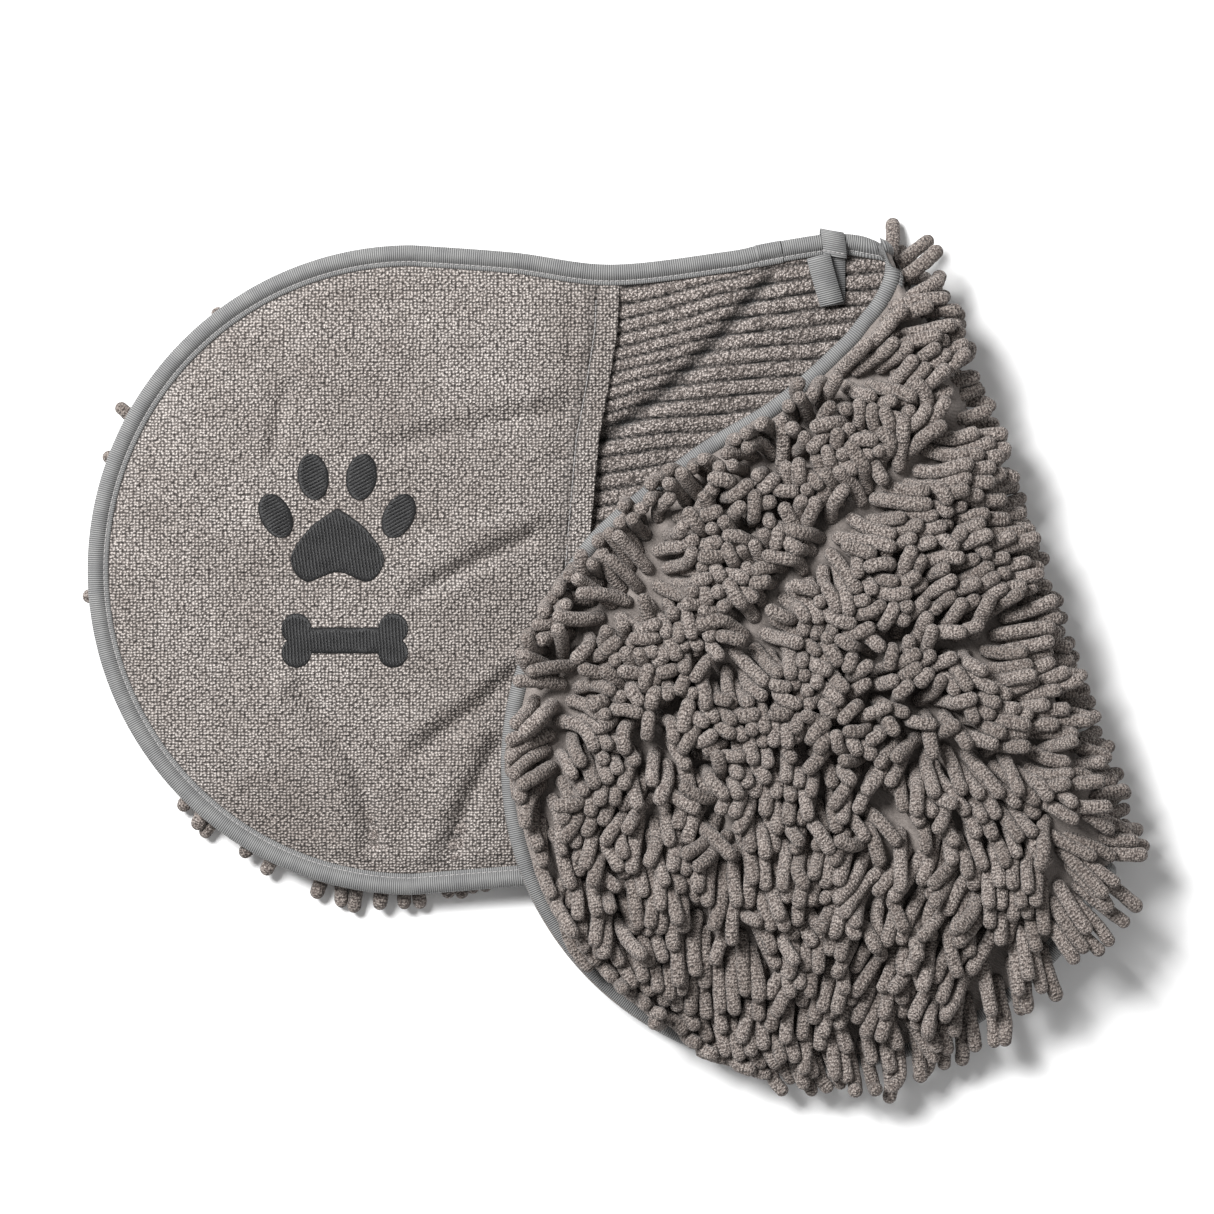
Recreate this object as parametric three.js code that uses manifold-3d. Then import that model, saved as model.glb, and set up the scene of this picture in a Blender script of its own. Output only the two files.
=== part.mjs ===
// A pet drying towel with a hand pocket at each end, lying with one half folded over the other.
//
// The towel is about 810 mm long and 350 mm wide when it is open, with round ends and a slight waist. Its
// outer side is chenille pile on a backing cloth, its inner side is a ribbed lining, and a terry panel with
// a hemmed mouth makes a pocket over each round end. A folded tape binds the whole edge.
//
// Millimetres, +Z up. While modelling, the origin is under the middle of the lower half's round end; the
// finished group is moved so that its origin is at the middle of the base of its bounding box.
// Three stiff bodies stand for the cloth: the lower half, a narrow strip that stands up along the fold, and
// the upper half, which lies upside down over the lower one.

import ManifoldModule from "manifold-3d";
import * as THREE from "three";
import { mergeVertices } from "three/addons/utils/BufferGeometryUtils.js";

const wasm = await ManifoldModule();
wasm.setup();

// ---- Driving dimensions -------------------------------------------------------------------------------

const LOWER_LOBE_RADIUS = 175;
const UPPER_LOBE_RADIUS = 167;
const UPPER_LOBE_CENTRE = new THREE.Vector2(215.5, -104.5);
const FOLD_TOP = new THREE.Vector2(254.5, 166); // where the fold meets the towel's two long edges
const FOLD_END_ANGLE = -22; // degrees on the upper lobe

const GAP = 0.3; // between touching pieces
const PILE_THICK = 16;
const BACKING_THICK = 1;
const LINING_THICK = 2.2;
const TERRY_THICK = 1.8;
const POCKET_SPACE = 7.5; // height of the free space in a pocket that lies flat
const REST_GAP = 2.6; // between the two pockets, for their hems

const TAPE_THICK = 0.9;
const BINDING_WIDTH = 11;
const BINDING_CUT_BACK = 4; // the binding stops this far short of each fold hinge
const BINDING_TRIM = 5.4; // the same along the edge, which meets the fold at a slant
const TURN_TO_FOLD = 40; // beside the fold, the binding turns to lie along it over this distance
const HEM_CLEARANCE = 2; // between the binding's inner edge and the hem
const SEAM_DEPTH = 12; // the pocket lies flat for this far in from its sewn edge
const PUFF_REACH = 55; // and is fully open from this far in
const POCKET_MOUTH = { lower: 101, upper: 86 }; // from the lobe's middle to the mouth
const HEM_WIDTH = 14;
const HEM_THICK = 1;

const EDGE_SAG = 5; // the upper half's edge hangs this far below its middle
const SAG_REACH = 60;
const FOLD_MARGIN = 5; // how far from the fold the layers have their first inner ring
const HANG_REACH = 65; // and how far from it the upper half hangs in full
const OVERHANG_DROOP = 26; // and its end comes down this far past the lower half's edge
const DROOP_FROM = 150; // distances towards the viewer between which it comes down
const DROOP_TO = 275;

const THREAD = 0.6;
const BINDING_STITCH_INSET = 8.5;
const HEM_STITCH_INSET = 11;

const LOOP_ALONG = 34.5; // the loop's middle, measured along the edge from the fold
const LOOP_WIDTH = 12.5;
const LOOP_NEAR = 14; // the loop reaches from here to there in from the edge
const LOOP_FAR = 41;
const LOOP_LOW = 20.4;
const LOOP_HIGH = 27.4;
const ANCHOR_COVER = 13; // how far in the loop's anchor reaches on top

const JOIN_FROM = 63; // where the binding's ends overlap, measured along the edge from the fold
const JOIN_TO = 77;
const JOIN_THICK = 0.6;
const TAPE_STEP = 0.4; // a tape over the binding ends this far from the binding's own inner edge

const EMBROIDERY_THICK = 0.7;
const PAW_MIDDLE = [-40, 12];
const PAD_OUTLINE = [
  [0, 21], [-15, 10], [-25, -6], [-17, -18], [0, -13], [17, -18], [25, -6], [15, 10], [0, 21],
];
const TOES = [[-33, 17, 26], [-13, 38, 8], [13, 38, -8], [33, 17, -26]]; // middles from the paw's, and turns
const TOE_RADII = [8, 12.5];
const BONE_MIDDLE = [-36, -38];
const BONE_KNOB_RADIUS = 8;
const BONE_KNOB_X = 26;
const BONE_KNOB_Y = 6.4;

// ---- Levels in one half, from the pile's outside to the pocket's ---------------------------------------

const BACKING_LOW = PILE_THICK + GAP;
const BACKING_HIGH = BACKING_LOW + BACKING_THICK;
const LINING_LOW = BACKING_HIGH + GAP;
const LINING_HIGH = LINING_LOW + LINING_THICK;
const TERRY_LOW = LINING_HIGH + GAP;
const TERRY_HIGH = TERRY_LOW + TERRY_THICK;
const CHANNEL_LOW = BACKING_LOW - GAP - TAPE_THICK;
const CHANNEL_HIGH = TERRY_HIGH + GAP + TAPE_THICK;
const POCKET_TOP = TERRY_HIGH + POCKET_SPACE;
const FOLDED_TOP = 2 * POCKET_TOP + REST_GAP; // the upper half's pile side
const STRIP_LOW = LINING_HIGH;
const STRIP_HIGH = FOLDED_TOP - LINING_HIGH;

// ---- Materials ----------------------------------------------------------------------------------------

const cloth = (color) => new THREE.MeshStandardMaterial({ color, roughness: 0.95, metalness: 0 });
const MATERIALS = {
  chenille: cloth(0x8a807c),
  backing: cloth(0x857c78),
  lining: cloth(0x8d8481),
  terry: cloth(0x9e9794),
  binding: cloth(0x939393),
  thread: cloth(0x8b8786),
  embroidery: cloth(0x262626),
};

// ---- Small helpers ------------------------------------------------------------------------------------

const towel = new THREE.Group();
const rad = THREE.MathUtils.degToRad;
const ease = (value, from, to) => {
  const t = THREE.MathUtils.clamp((value - from) / (to - from), 0, 1);
  return t * t * (3 - 2 * t);
};
const vec = ([x, y]) => new THREE.Vector2(x, y);
const along = (a, direction, distance) => a.clone().addScaledVector(direction, distance);
const onLobe = (centre, radius, degrees) =>
  new THREE.Vector2(Math.cos(rad(degrees)), Math.sin(rad(degrees))).multiplyScalar(radius).add(centre);

function add(name, geometry, material) {
  const mesh = new THREE.Mesh(geometry, material);
  mesh.name = name;
  towel.add(mesh);
  return mesh;
}

// A closed mesh from shared vertices, turned so that its faces point out.
function solid(points, faces) {
  const volume = faces.reduce((sum, [a, b, c]) => {
    const across = points[b].clone().cross(points[c]);
    return sum + points[a].dot(across);
  }, 0);
  const geometry = new THREE.BufferGeometry().setFromPoints(points);
  geometry.setIndex(volume < 0 ? faces.flatMap(([a, b, c]) => [a, c, b]) : faces.flat());
  geometry.computeVertexNormals();
  return geometry;
}

// The quads between two rings of vertices, as triangles. Each ring is the index of its first vertex.
function band(from, to, count) {
  return Array.from({ length: count }, (_, i) => {
    const j = (i + 1) % count;
    return [[from + i, from + j, to + j], [from + i, to + j, to + i]];
  }).flat();
}

// A solid through equal sections. Its flat ends are triangulated from the flat, counter-clockwise section.
function loft(sections, flatSection) {
  const count = flatSection.length;
  const last = (sections.length - 1) * count;
  const sides = sections.slice(1).flatMap((_, k) => band(k * count, (k + 1) * count, count));
  const ends = THREE.ShapeUtils.triangulateShape(flatSection, []).flatMap(([a, b, c]) => [
    [a, c, b],
    [last + a, last + b, last + c],
  ]);
  return solid(sections.flat(), [...sides, ...ends]);
}

// A sheet over rings of plan points that close in on a hub, given as [point, top level, bottom level].
function ringSheet(rings, hub) {
  const count = rings[0].length;
  const plan = [...rings.flat(), hub];
  const points = [1, 2].flatMap((face) => plan.map((at) => new THREE.Vector3(at[0].x, at[0].y, at[face])));
  const inner = (rings.length - 1) * count;
  const spread = rings.slice(1).flatMap((_, k) => band(k * count, (k + 1) * count, count));
  for (let i = 0; i < count; i++) spread.push([inner + i, inner + ((i + 1) % count), plan.length - 1]);
  const under = spread.map(([a, b, c]) => [plan.length + a, plan.length + c, plan.length + b]);
  const walls = band(plan.length, 0, count);
  return solid(points, [...spread, ...under, ...walls]);
}

function toManifold(geometry) {
  const bare = new THREE.BufferGeometry();
  bare.setAttribute("position", geometry.getAttribute("position"));
  bare.setIndex(geometry.index);
  const merged = mergeVertices(bare);
  const mesh = { numProp: 3, vertProperties: merged.getAttribute("position").array };
  return new wasm.Manifold(new wasm.Mesh({ ...mesh, triVerts: Uint32Array.from(merged.index.array) }));
}

// Keeps what lies inside every one of these plan outlines.
function keepInside(geometry, outlines) {
  const options = { depth: 2 * FOLDED_TOP, bevelEnabled: false };
  const kept = outlines.reduce((part, outline) => {
    const prism = new THREE.ExtrudeGeometry(new THREE.Shape(outline), options);
    return part.intersect(toManifold(prism.translate(0, 0, -FOLDED_TOP / 2)));
  }, toManifold(geometry));
  const { vertProperties, triVerts } = kept.getMesh();
  const result = new THREE.BufferGeometry();
  result.setAttribute("position", new THREE.BufferAttribute(vertProperties, 3));
  result.setIndex([...triVerts]);
  result.computeVertexNormals();
  return result;
}

// ---- The fold -----------------------------------------------------------------------------------------

const FOLD_END = onLobe(UPPER_LOBE_CENTRE, UPPER_LOBE_RADIUS, FOLD_END_ANGLE);
const FOLD_LENGTH = FOLD_TOP.distanceTo(FOLD_END);
const FOLD_DIRECTION = FOLD_END.clone().sub(FOLD_TOP).normalize();
const FOLD_OUTWARD = new THREE.Vector2(-FOLD_DIRECTION.y, FOLD_DIRECTION.x); // away from both halves
const insideFold = (p) => -p.clone().sub(FOLD_TOP).dot(FOLD_OUTWARD);

// ---- One half of the towel ----------------------------------------------------------------------------

const spline = (points, steps) => new THREE.SplineCurve(points).getSpacedPoints(steps);
const arc = (centre, radius, from, to, steps) =>
  Array.from({ length: steps + 1 }, (_, i) => onLobe(centre, radius, from + ((to - from) * i) / steps));

// A half runs from the fold's top, round its lobe, to the fold's end, and back along the fold.
class Half {
  constructor({ centre, axis, mouth, edge, level, hang }) {
    Object.assign(this, { centre, axis, mouth, edge, level, hang });
    this.travel = [0];
    for (let i = 1; i < edge.length; i++) {
      this.travel.push(this.travel[i - 1] + edge[i].distanceTo(edge[i - 1]));
    }
    this.length = this.travel.at(-1);
    this.inward = edge.map((p, i) => this.inwardAt(p, i));
    this.drop = edge.map((p) => this.hang(p));
  }

  // The way in from the edge: square to it, but along the fold beside the fold. It is 1 deep for each 1 in.
  inwardAt(p, i) {
    const before = this.edge[Math.max(i - 1, 0)];
    const after = this.edge[Math.min(i + 1, this.edge.length - 1)];
    const run = after.clone().sub(before).normalize();
    const square = new THREE.Vector2(-run.y, run.x);
    const foldSide = FOLD_DIRECTION.clone().multiplyScalar(i < this.edge.length / 2 ? 1 : -1);
    const way = foldSide.lerp(square, ease(insideFold(p), 0, TURN_TO_FOLD));
    return way.divideScalar(way.dot(square));
  }

  // The edge's stations between two distances along it: each one's place, its way in and its drop.
  stations(from, to) {
    const place = (s) => {
      const i = Math.max(1, this.travel.findIndex((t) => t >= s));
      const t = (s - this.travel[i - 1]) / (this.travel[i] - this.travel[i - 1]);
      const between = (list) => list[i - 1].clone().lerp(list[i], t);
      const drop = THREE.MathUtils.lerp(this.drop[i - 1], this.drop[i], t);
      return [between(this.edge), between(this.inward), drop];
    };
    const isBetween = (_, i) => this.travel[i] > from + 1 && this.travel[i] < to - 1;
    const inner = this.edge.map((p, i) => [p, this.inward[i], this.drop[i]]).filter(isBetween);
    return [place(from), ...inner, place(to)];
  }

  // The outline, this far in from the edge and a gap short of the fold.
  outline(inset, foldSteps = 6) {
    const rim = this.edge.map((p, i) => along(p, this.inward[i], inset));
    const [first, last] = [rim[0], rim.at(-1)].map((p) => along(p, FOLD_OUTWARD, -GAP / 2));
    const share = (i) => (i + 1) / foldSteps;
    const back = Array.from({ length: foldSteps - 1 }, (_, i) => last.clone().lerp(first, share(i)));
    return [first, ...rim.slice(1, -1), last, ...back];
  }

  seamDistance(p) {
    return this.edge.slice(1).reduce((least, b, i) => {
      const a = this.edge[i];
      const run = b.clone().sub(a);
      const t = THREE.MathUtils.clamp(p.clone().sub(a).dot(run) / run.lengthSq(), 0, 1);
      return Math.min(least, p.distanceTo(along(a, run, t)));
    }, Infinity);
  }

  puff(p) {
    return POCKET_SPACE * ease(this.seamDistance(p), SEAM_DEPTH, PUFF_REACH);
  }

  // A tape or thread along the edge, from its section as [inset, level] pairs.
  sweep(section, from, to) {
    const sections = this.stations(from, to).map(([p, inward, drop]) =>
      section.map(([inset, z]) => {
        const at = along(p, inward, inset);
        return new THREE.Vector3(at.x, at.y, this.level(z, drop));
      }),
    );
    return loft(sections, section.map(vec));
  }

  // The strip of the plan between two distances back from the pocket's mouth.
  across(from, to) {
    const side = new THREE.Vector2(-this.axis.y, this.axis.x);
    const corner = (back, sideways) =>
      along(along(this.centre, this.axis, this.mouth - back), side, sideways * this.length);
    return [corner(to, -1), corner(from, -1), corner(from, 1), corner(to, 1)];
  }
}

const LOWER_TOP_EDGE = [
  FOLD_TOP,
  ...[[249, 176], [240, 179.7], [222, 180.8], [205, 178.3], [187, 175], [168, 171.3]].map(vec),
  ...[[107, 164.5], [55, 171]].map(vec),
];
const LOWER_BOTTOM_EDGE = [...[[58, -170.5], [150, -163.5], [250, -163.5]].map(vec), FOLD_END];
const UPPER_TOP_EDGE = [
  FOLD_TOP,
  ...[[252, 155.5], [247, 144.5], [240, 135], [229, 122], [194, 91]].map(vec),
  ...[[152, 65], [105, 27.5], [84, 2.5]].map(vec),
];
const UPPER_ARC_FROM = 156; // degrees on the upper lobe, where the long edge meets it
const SPLINE_STEPS = { lowerTop: 10, lowerBottom: 9, upperTop: 9 };
const ARC_STEPS = { lower: 20, upper: 24 };
const ORIGIN = new THREE.Vector2(0, 0);

const LOWER_ARC_START = onLobe(ORIGIN, LOWER_LOBE_RADIUS, 90);
const LOWER_ARC_END = onLobe(ORIGIN, LOWER_LOBE_RADIUS, 270);
const lower = new Half({
  centre: ORIGIN,
  axis: new THREE.Vector2(1, -0.055).normalize(),
  mouth: POCKET_MOUTH.lower,
  edge: [
    ...spline([...LOWER_TOP_EDGE, LOWER_ARC_START], SPLINE_STEPS.lowerTop).slice(0, -1),
    ...arc(ORIGIN, LOWER_LOBE_RADIUS, 90, 270, ARC_STEPS.lower),
    ...spline([LOWER_ARC_END, ...LOWER_BOTTOM_EDGE], SPLINE_STEPS.lowerBottom).slice(1),
  ],
  level: (z) => z,
  hang: () => 0,
});

// How far the upper half hangs below its flat level.
function upperHang(p) {
  const sag = EDGE_SAG * (1 - ease(this.seamDistance(p), SEAM_DEPTH, SAG_REACH));
  const droop = OVERHANG_DROOP * ease(-p.y, DROOP_FROM, DROOP_TO);
  return (sag + droop) * ease(insideFold(p), 2 * FOLD_MARGIN, HANG_REACH);
}

const UPPER_ARC_START = onLobe(UPPER_LOBE_CENTRE, UPPER_LOBE_RADIUS, UPPER_ARC_FROM);
const upper = new Half({
  centre: UPPER_LOBE_CENTRE,
  axis: new THREE.Vector2(0.764, 0.645).normalize(),
  mouth: POCKET_MOUTH.upper,
  edge: [
    ...spline([...UPPER_TOP_EDGE, UPPER_ARC_START], SPLINE_STEPS.upperTop).slice(0, -1),
    ...arc(UPPER_LOBE_CENTRE, UPPER_LOBE_RADIUS, UPPER_ARC_FROM, 360 + FOLD_END_ANGLE, ARC_STEPS.upper),
  ],
  level: (z, drop) => FOLDED_TOP - z - drop,
  hang: upperHang,
});

// ---- Cloth layers -------------------------------------------------------------------------------------

// Every layer of a half has the same rings, so that its layers follow each other without touching.
const RING_SHARES = [0.2, 0.42, 0.7]; // of the way from the edge to the lobe's middle
const SHEET_INSET = TAPE_THICK + GAP;
const PILE_INSET = BINDING_WIDTH + GAP;

function layer(half, low, high, outlines, puffed = false) {
  const place = (p, i = Infinity) => {
    const puff = puffed ? half.puff(p) : 0;
    const drop = half.drop[i] ?? half.hang(p);
    return [p, half.level(high + puff, drop), half.level(low + puff, drop)];
  };
  const rim = half.outline(SHEET_INSET);
  const besideFold = (p) => (insideFold(p) < 1 ? along(p, FOLD_OUTWARD, -FOLD_MARGIN) : p);
  const seam = half.outline(SEAM_DEPTH).map(besideFold);
  const rings = RING_SHARES.map((share) => rim.map((p) => place(p.clone().lerp(half.centre, share))));
  const whole = ringSheet([rim.map(place), seam.map(place), ...rings], place(half.centre));
  return outlines.length ? keepInside(whole, outlines) : whole;
}

function sheets(half, side) {
  add(`chenille_pile_${side}`, layer(half, 0, PILE_THICK, [half.outline(PILE_INSET)]), MATERIALS.chenille);
  add(`backing_${side}`, layer(half, BACKING_LOW, BACKING_HIGH, []), MATERIALS.backing);
  add(`lining_${side}`, layer(half, LINING_LOW, LINING_HIGH, []), MATERIALS.lining);
}

// The pocket with its hem, which lies on its outside along its mouth, and the hem's line of stitches.
function pocket(half, side) {
  const hemLow = TERRY_HIGH + GAP;
  const stitchLow = hemLow + HEM_THICK + GAP;
  const insideBinding = half.outline(BINDING_WIDTH + HEM_CLEARANCE);
  const strip = (from, to) => [insideBinding, half.across(from, to)];
  const panel = layer(half, TERRY_LOW, TERRY_HIGH, [half.across(0, half.length)], true);
  const hem = layer(half, hemLow, hemLow + HEM_THICK, strip(0, HEM_WIDTH), true);
  const stitchRow = strip(HEM_STITCH_INSET, HEM_STITCH_INSET + THREAD);
  add(`pocket_${side}`, panel, MATERIALS.terry);
  add(`pocket_hem_${side}`, hem, MATERIALS.terry);
  add(`hem_stitching_${side}`, layer(half, stitchLow, stitchLow + THREAD, stitchRow, true), MATERIALS.thread);
}

// ---- Binding tape and its stitches --------------------------------------------------------------------

// A folded tape round the edge, as [inset, level] pairs. It reaches this far out past the edge.
const channel = (out, low, high, lowDepth, highDepth, thick) => [
  [lowDepth, low + thick],
  [thick - out, low + thick],
  [thick - out, high - thick],
  [highDepth, high - thick],
  [highDepth, high],
  [-out, high],
  [-out, low],
  [lowDepth, low],
];
const BINDING_SECTION = channel(0, CHANNEL_LOW, CHANNEL_HIGH, BINDING_WIDTH, BINDING_WIDTH, TAPE_THICK);

function binding(half, side) {
  const ends = [BINDING_TRIM, half.length - BINDING_TRIM];
  add(`binding_${side}`, half.sweep(BINDING_SECTION, ...ends), MATERIALS.binding);
  const low = CHANNEL_HIGH + GAP;
  const [near, far] = [BINDING_STITCH_INSET, BINDING_STITCH_INSET + THREAD];
  const thread = [[near, low], [far, low], [far, low + THREAD], [near, low + THREAD]];
  add(`binding_stitching_${side}`, half.sweep(thread, ...ends), MATERIALS.thread);
}

function bindingJoin() {
  const low = CHANNEL_LOW - GAP - JOIN_THICK;
  const high = CHANNEL_HIGH + 2 * GAP + THREAD + JOIN_THICK;
  const depths = [BINDING_WIDTH - TAPE_STEP, BINDING_WIDTH + TAPE_STEP];
  const overlap = channel(TAPE_THICK, low, high, ...depths, JOIN_THICK);
  add("binding_join", lower.sweep(overlap, JOIN_FROM, JOIN_TO), MATERIALS.binding);
}

// ---- The strip that stands along the fold -------------------------------------------------------------

function foldStrip() {
  const turn = Math.atan2(FOLD_OUTWARD.y, FOLD_OUTWARD.x);
  const height = STRIP_HIGH - STRIP_LOW;
  const place = (mesh, distance, outward, low) => {
    const at = along(along(FOLD_TOP, FOLD_DIRECTION, distance), FOLD_OUTWARD, outward);
    mesh.position.set(at.x, at.y, low);
    mesh.rotation.z = turn;
  };
  const board = (name, inset, from, thick, material) => {
    const box = new THREE.BoxGeometry(thick, FOLD_LENGTH - 2 * inset, height - GAP);
    place(add(name, box, material), FOLD_LENGTH / 2, from + thick / 2, STRIP_LOW + height / 2);
  };
  board("lining_fold", TAPE_THICK + GAP, 0, LINING_THICK, MATERIALS.lining);
  board("backing_fold", TAPE_THICK + GAP, LINING_THICK + GAP, BACKING_THICK, MATERIALS.backing);
  const pileFrom = LINING_THICK + BACKING_THICK + 2 * GAP;
  board("chenille_pile_fold", BINDING_WIDTH + GAP, pileFrom, PILE_THICK, MATERIALS.chenille);

  const tapeHeight = height - 2 * BINDING_CUT_BACK;
  for (const [name, distance, side] of [["top", 0, -1], ["end", FOLD_LENGTH, 1]]) {
    const shape = new THREE.Shape(
      BINDING_SECTION.map(([inset, z]) => new THREE.Vector2(LINING_HIGH - z, side * inset)),
    );
    const tape = new THREE.ExtrudeGeometry(shape, { depth: tapeHeight, bevelEnabled: false });
    place(add(`binding_fold_${name}`, tape, MATERIALS.binding), distance, 0, STRIP_LOW + BINDING_CUT_BACK);
  }
}

// ---- Hanging loop -------------------------------------------------------------------------------------

function hangingLoop() {
  const ends = [LOOP_ALONG - LOOP_WIDTH / 2, LOOP_ALONG + LOOP_WIDTH / 2];
  const low = CHANNEL_LOW - GAP - TAPE_THICK;
  const high = CHANNEL_HIGH + 2 * GAP + 2 * THREAD + TAPE_THICK;
  const anchor = channel(TAPE_THICK + GAP, low, high, BINDING_WIDTH - TAPE_STEP, ANCHOR_COVER, TAPE_THICK);
  add("loop_anchor", lower.sweep(anchor, ...ends), MATERIALS.binding);

  // The loop's eye opens along X. Its outline is drawn in the plane across the edge, then extruded along X.
  const [edgePoint] = lower.stations(LOOP_ALONG, LOOP_ALONG + 1)[0];
  const half = (LOOP_HIGH - LOOP_LOW) / 2;
  const middle = (LOOP_HIGH + LOOP_LOW) / 2;
  const eye = (inset, holder) => {
    const radius = half - inset;
    holder.absarc(-LOOP_NEAR - half, middle, radius, -Math.PI / 2, Math.PI / 2, false);
    holder.absarc(-LOOP_FAR + half, middle, radius, Math.PI / 2, (3 * Math.PI) / 2, false);
    return holder;
  };
  const tape = eye(0, new THREE.Shape());
  tape.holes.push(eye(TAPE_THICK, new THREE.Path()));
  const options = { depth: LOOP_WIDTH, bevelEnabled: false, curveSegments: 6 };
  const loop = add("hanging_loop", new THREE.ExtrudeGeometry(tape, options), MATERIALS.binding);
  const [x, y, z] = [[1, 0, 0], [0, 1, 0], [0, 0, 1]].map((axis) => new THREE.Vector3(...axis));
  loop.quaternion.setFromRotationMatrix(new THREE.Matrix4().makeBasis(y, z, x));
  loop.position.set(edgePoint.x - LOOP_WIDTH / 2, edgePoint.y, 0);
}

// ---- Embroidery on the lower pocket: a paw print over a bone -------------------------------------------

function embroidery() {
  const low = POCKET_TOP + GAP;
  const options = { depth: EMBROIDERY_THICK, bevelEnabled: false, curveSegments: 14 };
  const stitch = (name, shape, x, y, turn = 0) => {
    const patch = add(name, new THREE.ExtrudeGeometry(shape, options), MATERIALS.embroidery);
    patch.position.set(x, y, low);
    patch.rotation.z = rad(turn);
  };
  const [pawX, pawY] = PAW_MIDDLE;
  const padOutline = new THREE.SplineCurve(PAD_OUTLINE.map(vec)).getPoints(40).slice(0, -1);
  stitch("embroidered_pad", new THREE.Shape(padOutline), pawX, pawY);
  TOES.forEach(([x, y, turn], i) => {
    const toe = new THREE.Shape().absellipse(0, 0, ...TOE_RADII, 0, 2 * Math.PI, false, 0);
    stitch(`embroidered_toe_${i + 1}`, toe, pawX + x, pawY + y, turn);
  });
  const bone = new THREE.Shape();
  const knob = (x, y, from, to) => bone.absarc(x, y, BONE_KNOB_RADIUS, rad(from), rad(to), false);
  knob(BONE_KNOB_X, -BONE_KNOB_Y, -178, 52);
  knob(BONE_KNOB_X, BONE_KNOB_Y, -52, 178);
  knob(-BONE_KNOB_X, BONE_KNOB_Y, 2, 232);
  knob(-BONE_KNOB_X, -BONE_KNOB_Y, 128, 358);
  stitch("embroidered_bone", bone, ...BONE_MIDDLE);
}

// ---- Assembly -----------------------------------------------------------------------------------------

for (const [half, side] of [[lower, "lower"], [upper, "upper"]]) {
  sheets(half, side);
  pocket(half, side);
  binding(half, side);
}
bindingJoin();
foldStrip();
hangingLoop();
embroidery();

const bounds = new THREE.Box3().setFromObject(towel, true);
const middle = bounds.getCenter(new THREE.Vector3());
towel.position.set(-middle.x, -middle.y, -bounds.min.z);

export default towel;
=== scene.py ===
"""A pet drying towel with a hand pocket at each end, lying with one half folded over the other.

Everything is worked out in millimetres in the towel's plan, whose origin is under the middle of the lower
half's round end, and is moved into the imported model's frame, in metres, when a mesh is made. Levels are
"local": they run from 0 at the pile's outside, through the backing and lining, to the pocket's outside. The
lower half has its pile down. The upper half has the same levels turned upside down.
"""

import math

import bpy
import numpy as np
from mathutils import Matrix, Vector


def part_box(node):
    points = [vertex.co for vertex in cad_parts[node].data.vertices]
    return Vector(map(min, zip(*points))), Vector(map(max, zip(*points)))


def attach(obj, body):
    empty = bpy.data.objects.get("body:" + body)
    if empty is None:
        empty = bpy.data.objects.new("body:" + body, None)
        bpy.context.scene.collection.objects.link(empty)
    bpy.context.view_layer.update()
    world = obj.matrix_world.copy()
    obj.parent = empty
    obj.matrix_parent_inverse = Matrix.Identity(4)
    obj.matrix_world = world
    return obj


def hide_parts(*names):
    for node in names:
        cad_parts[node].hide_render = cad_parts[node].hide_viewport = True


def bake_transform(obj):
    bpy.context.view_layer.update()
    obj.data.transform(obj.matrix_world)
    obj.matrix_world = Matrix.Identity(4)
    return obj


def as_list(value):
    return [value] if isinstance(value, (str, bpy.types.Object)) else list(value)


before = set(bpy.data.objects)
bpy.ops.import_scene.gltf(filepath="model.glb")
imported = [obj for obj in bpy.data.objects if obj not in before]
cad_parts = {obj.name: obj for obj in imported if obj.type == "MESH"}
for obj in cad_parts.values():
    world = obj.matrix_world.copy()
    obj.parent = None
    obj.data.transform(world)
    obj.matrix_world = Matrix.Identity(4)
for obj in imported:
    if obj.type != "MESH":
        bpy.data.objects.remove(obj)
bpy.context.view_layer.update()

# ---- Driving dimensions, as in the CAD model ----

LOWER_RADIUS = 175.0
UPPER_RADIUS = 167.0
UPPER_CENTRE = np.array([215.5, -104.5])
FOLD_TOP = np.array([250.7, 177.0])
BACKING_LEVEL = 16.3
LINING_LEVEL = 19.8
TERRY_LEVEL = 20.1
FOLDED_TOP = 61.4
POCKET_SPACE = 7.5
SEAM_DEPTH = 12.0
BINDING_WIDTH = 11.0
BINDING_LEVEL = 19.1
EDGE_SAG = 5.0
OVERHANG_DROOP = 26.0
FOLD_BULGE = 5.0  # how far the lining goes out past the fold line
TOP_BULGE = 1.2  # the same at the fold's top
LOOP_ALONG = 24.8  # the loop's place along the edge, from the fold
JOIN_ALONG = 60.0

# ---- Small helpers ----

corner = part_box("binding_lower")[0]
ORIGIN = np.array([corner.x * 1000 + LOWER_RADIUS, corner.y * 1000 + LOWER_RADIUS, 0.0])
rng = np.random.default_rng(7)


def to_row(points):
    return (np.asarray(points, float) + ORIGIN) / 1000


def ease(value, start, end):
    t = np.clip((np.asarray(value, float) - start) / (end - start), 0, 1)
    return t * t * (3 - 2 * t)


def unit(v):
    return v / np.maximum(np.linalg.norm(v, axis=-1, keepdims=True), 1e-9)


def bell(distance, width):
    """1 at no distance, and nearly 0 from two widths away."""
    return np.exp(-((distance / width) ** 2))


def turning(degrees):
    """The matrix that turns rows of plan points."""
    c, s = math.cos(math.radians(degrees)), math.sin(math.radians(degrees))
    return np.array([[c, s], [-s, c]])


def arc(centre, radius, start, end, count=60):
    a = np.radians(np.linspace(start, end, count))
    return np.asarray(centre) + radius * np.stack([np.cos(a), np.sin(a)], 1)


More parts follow.
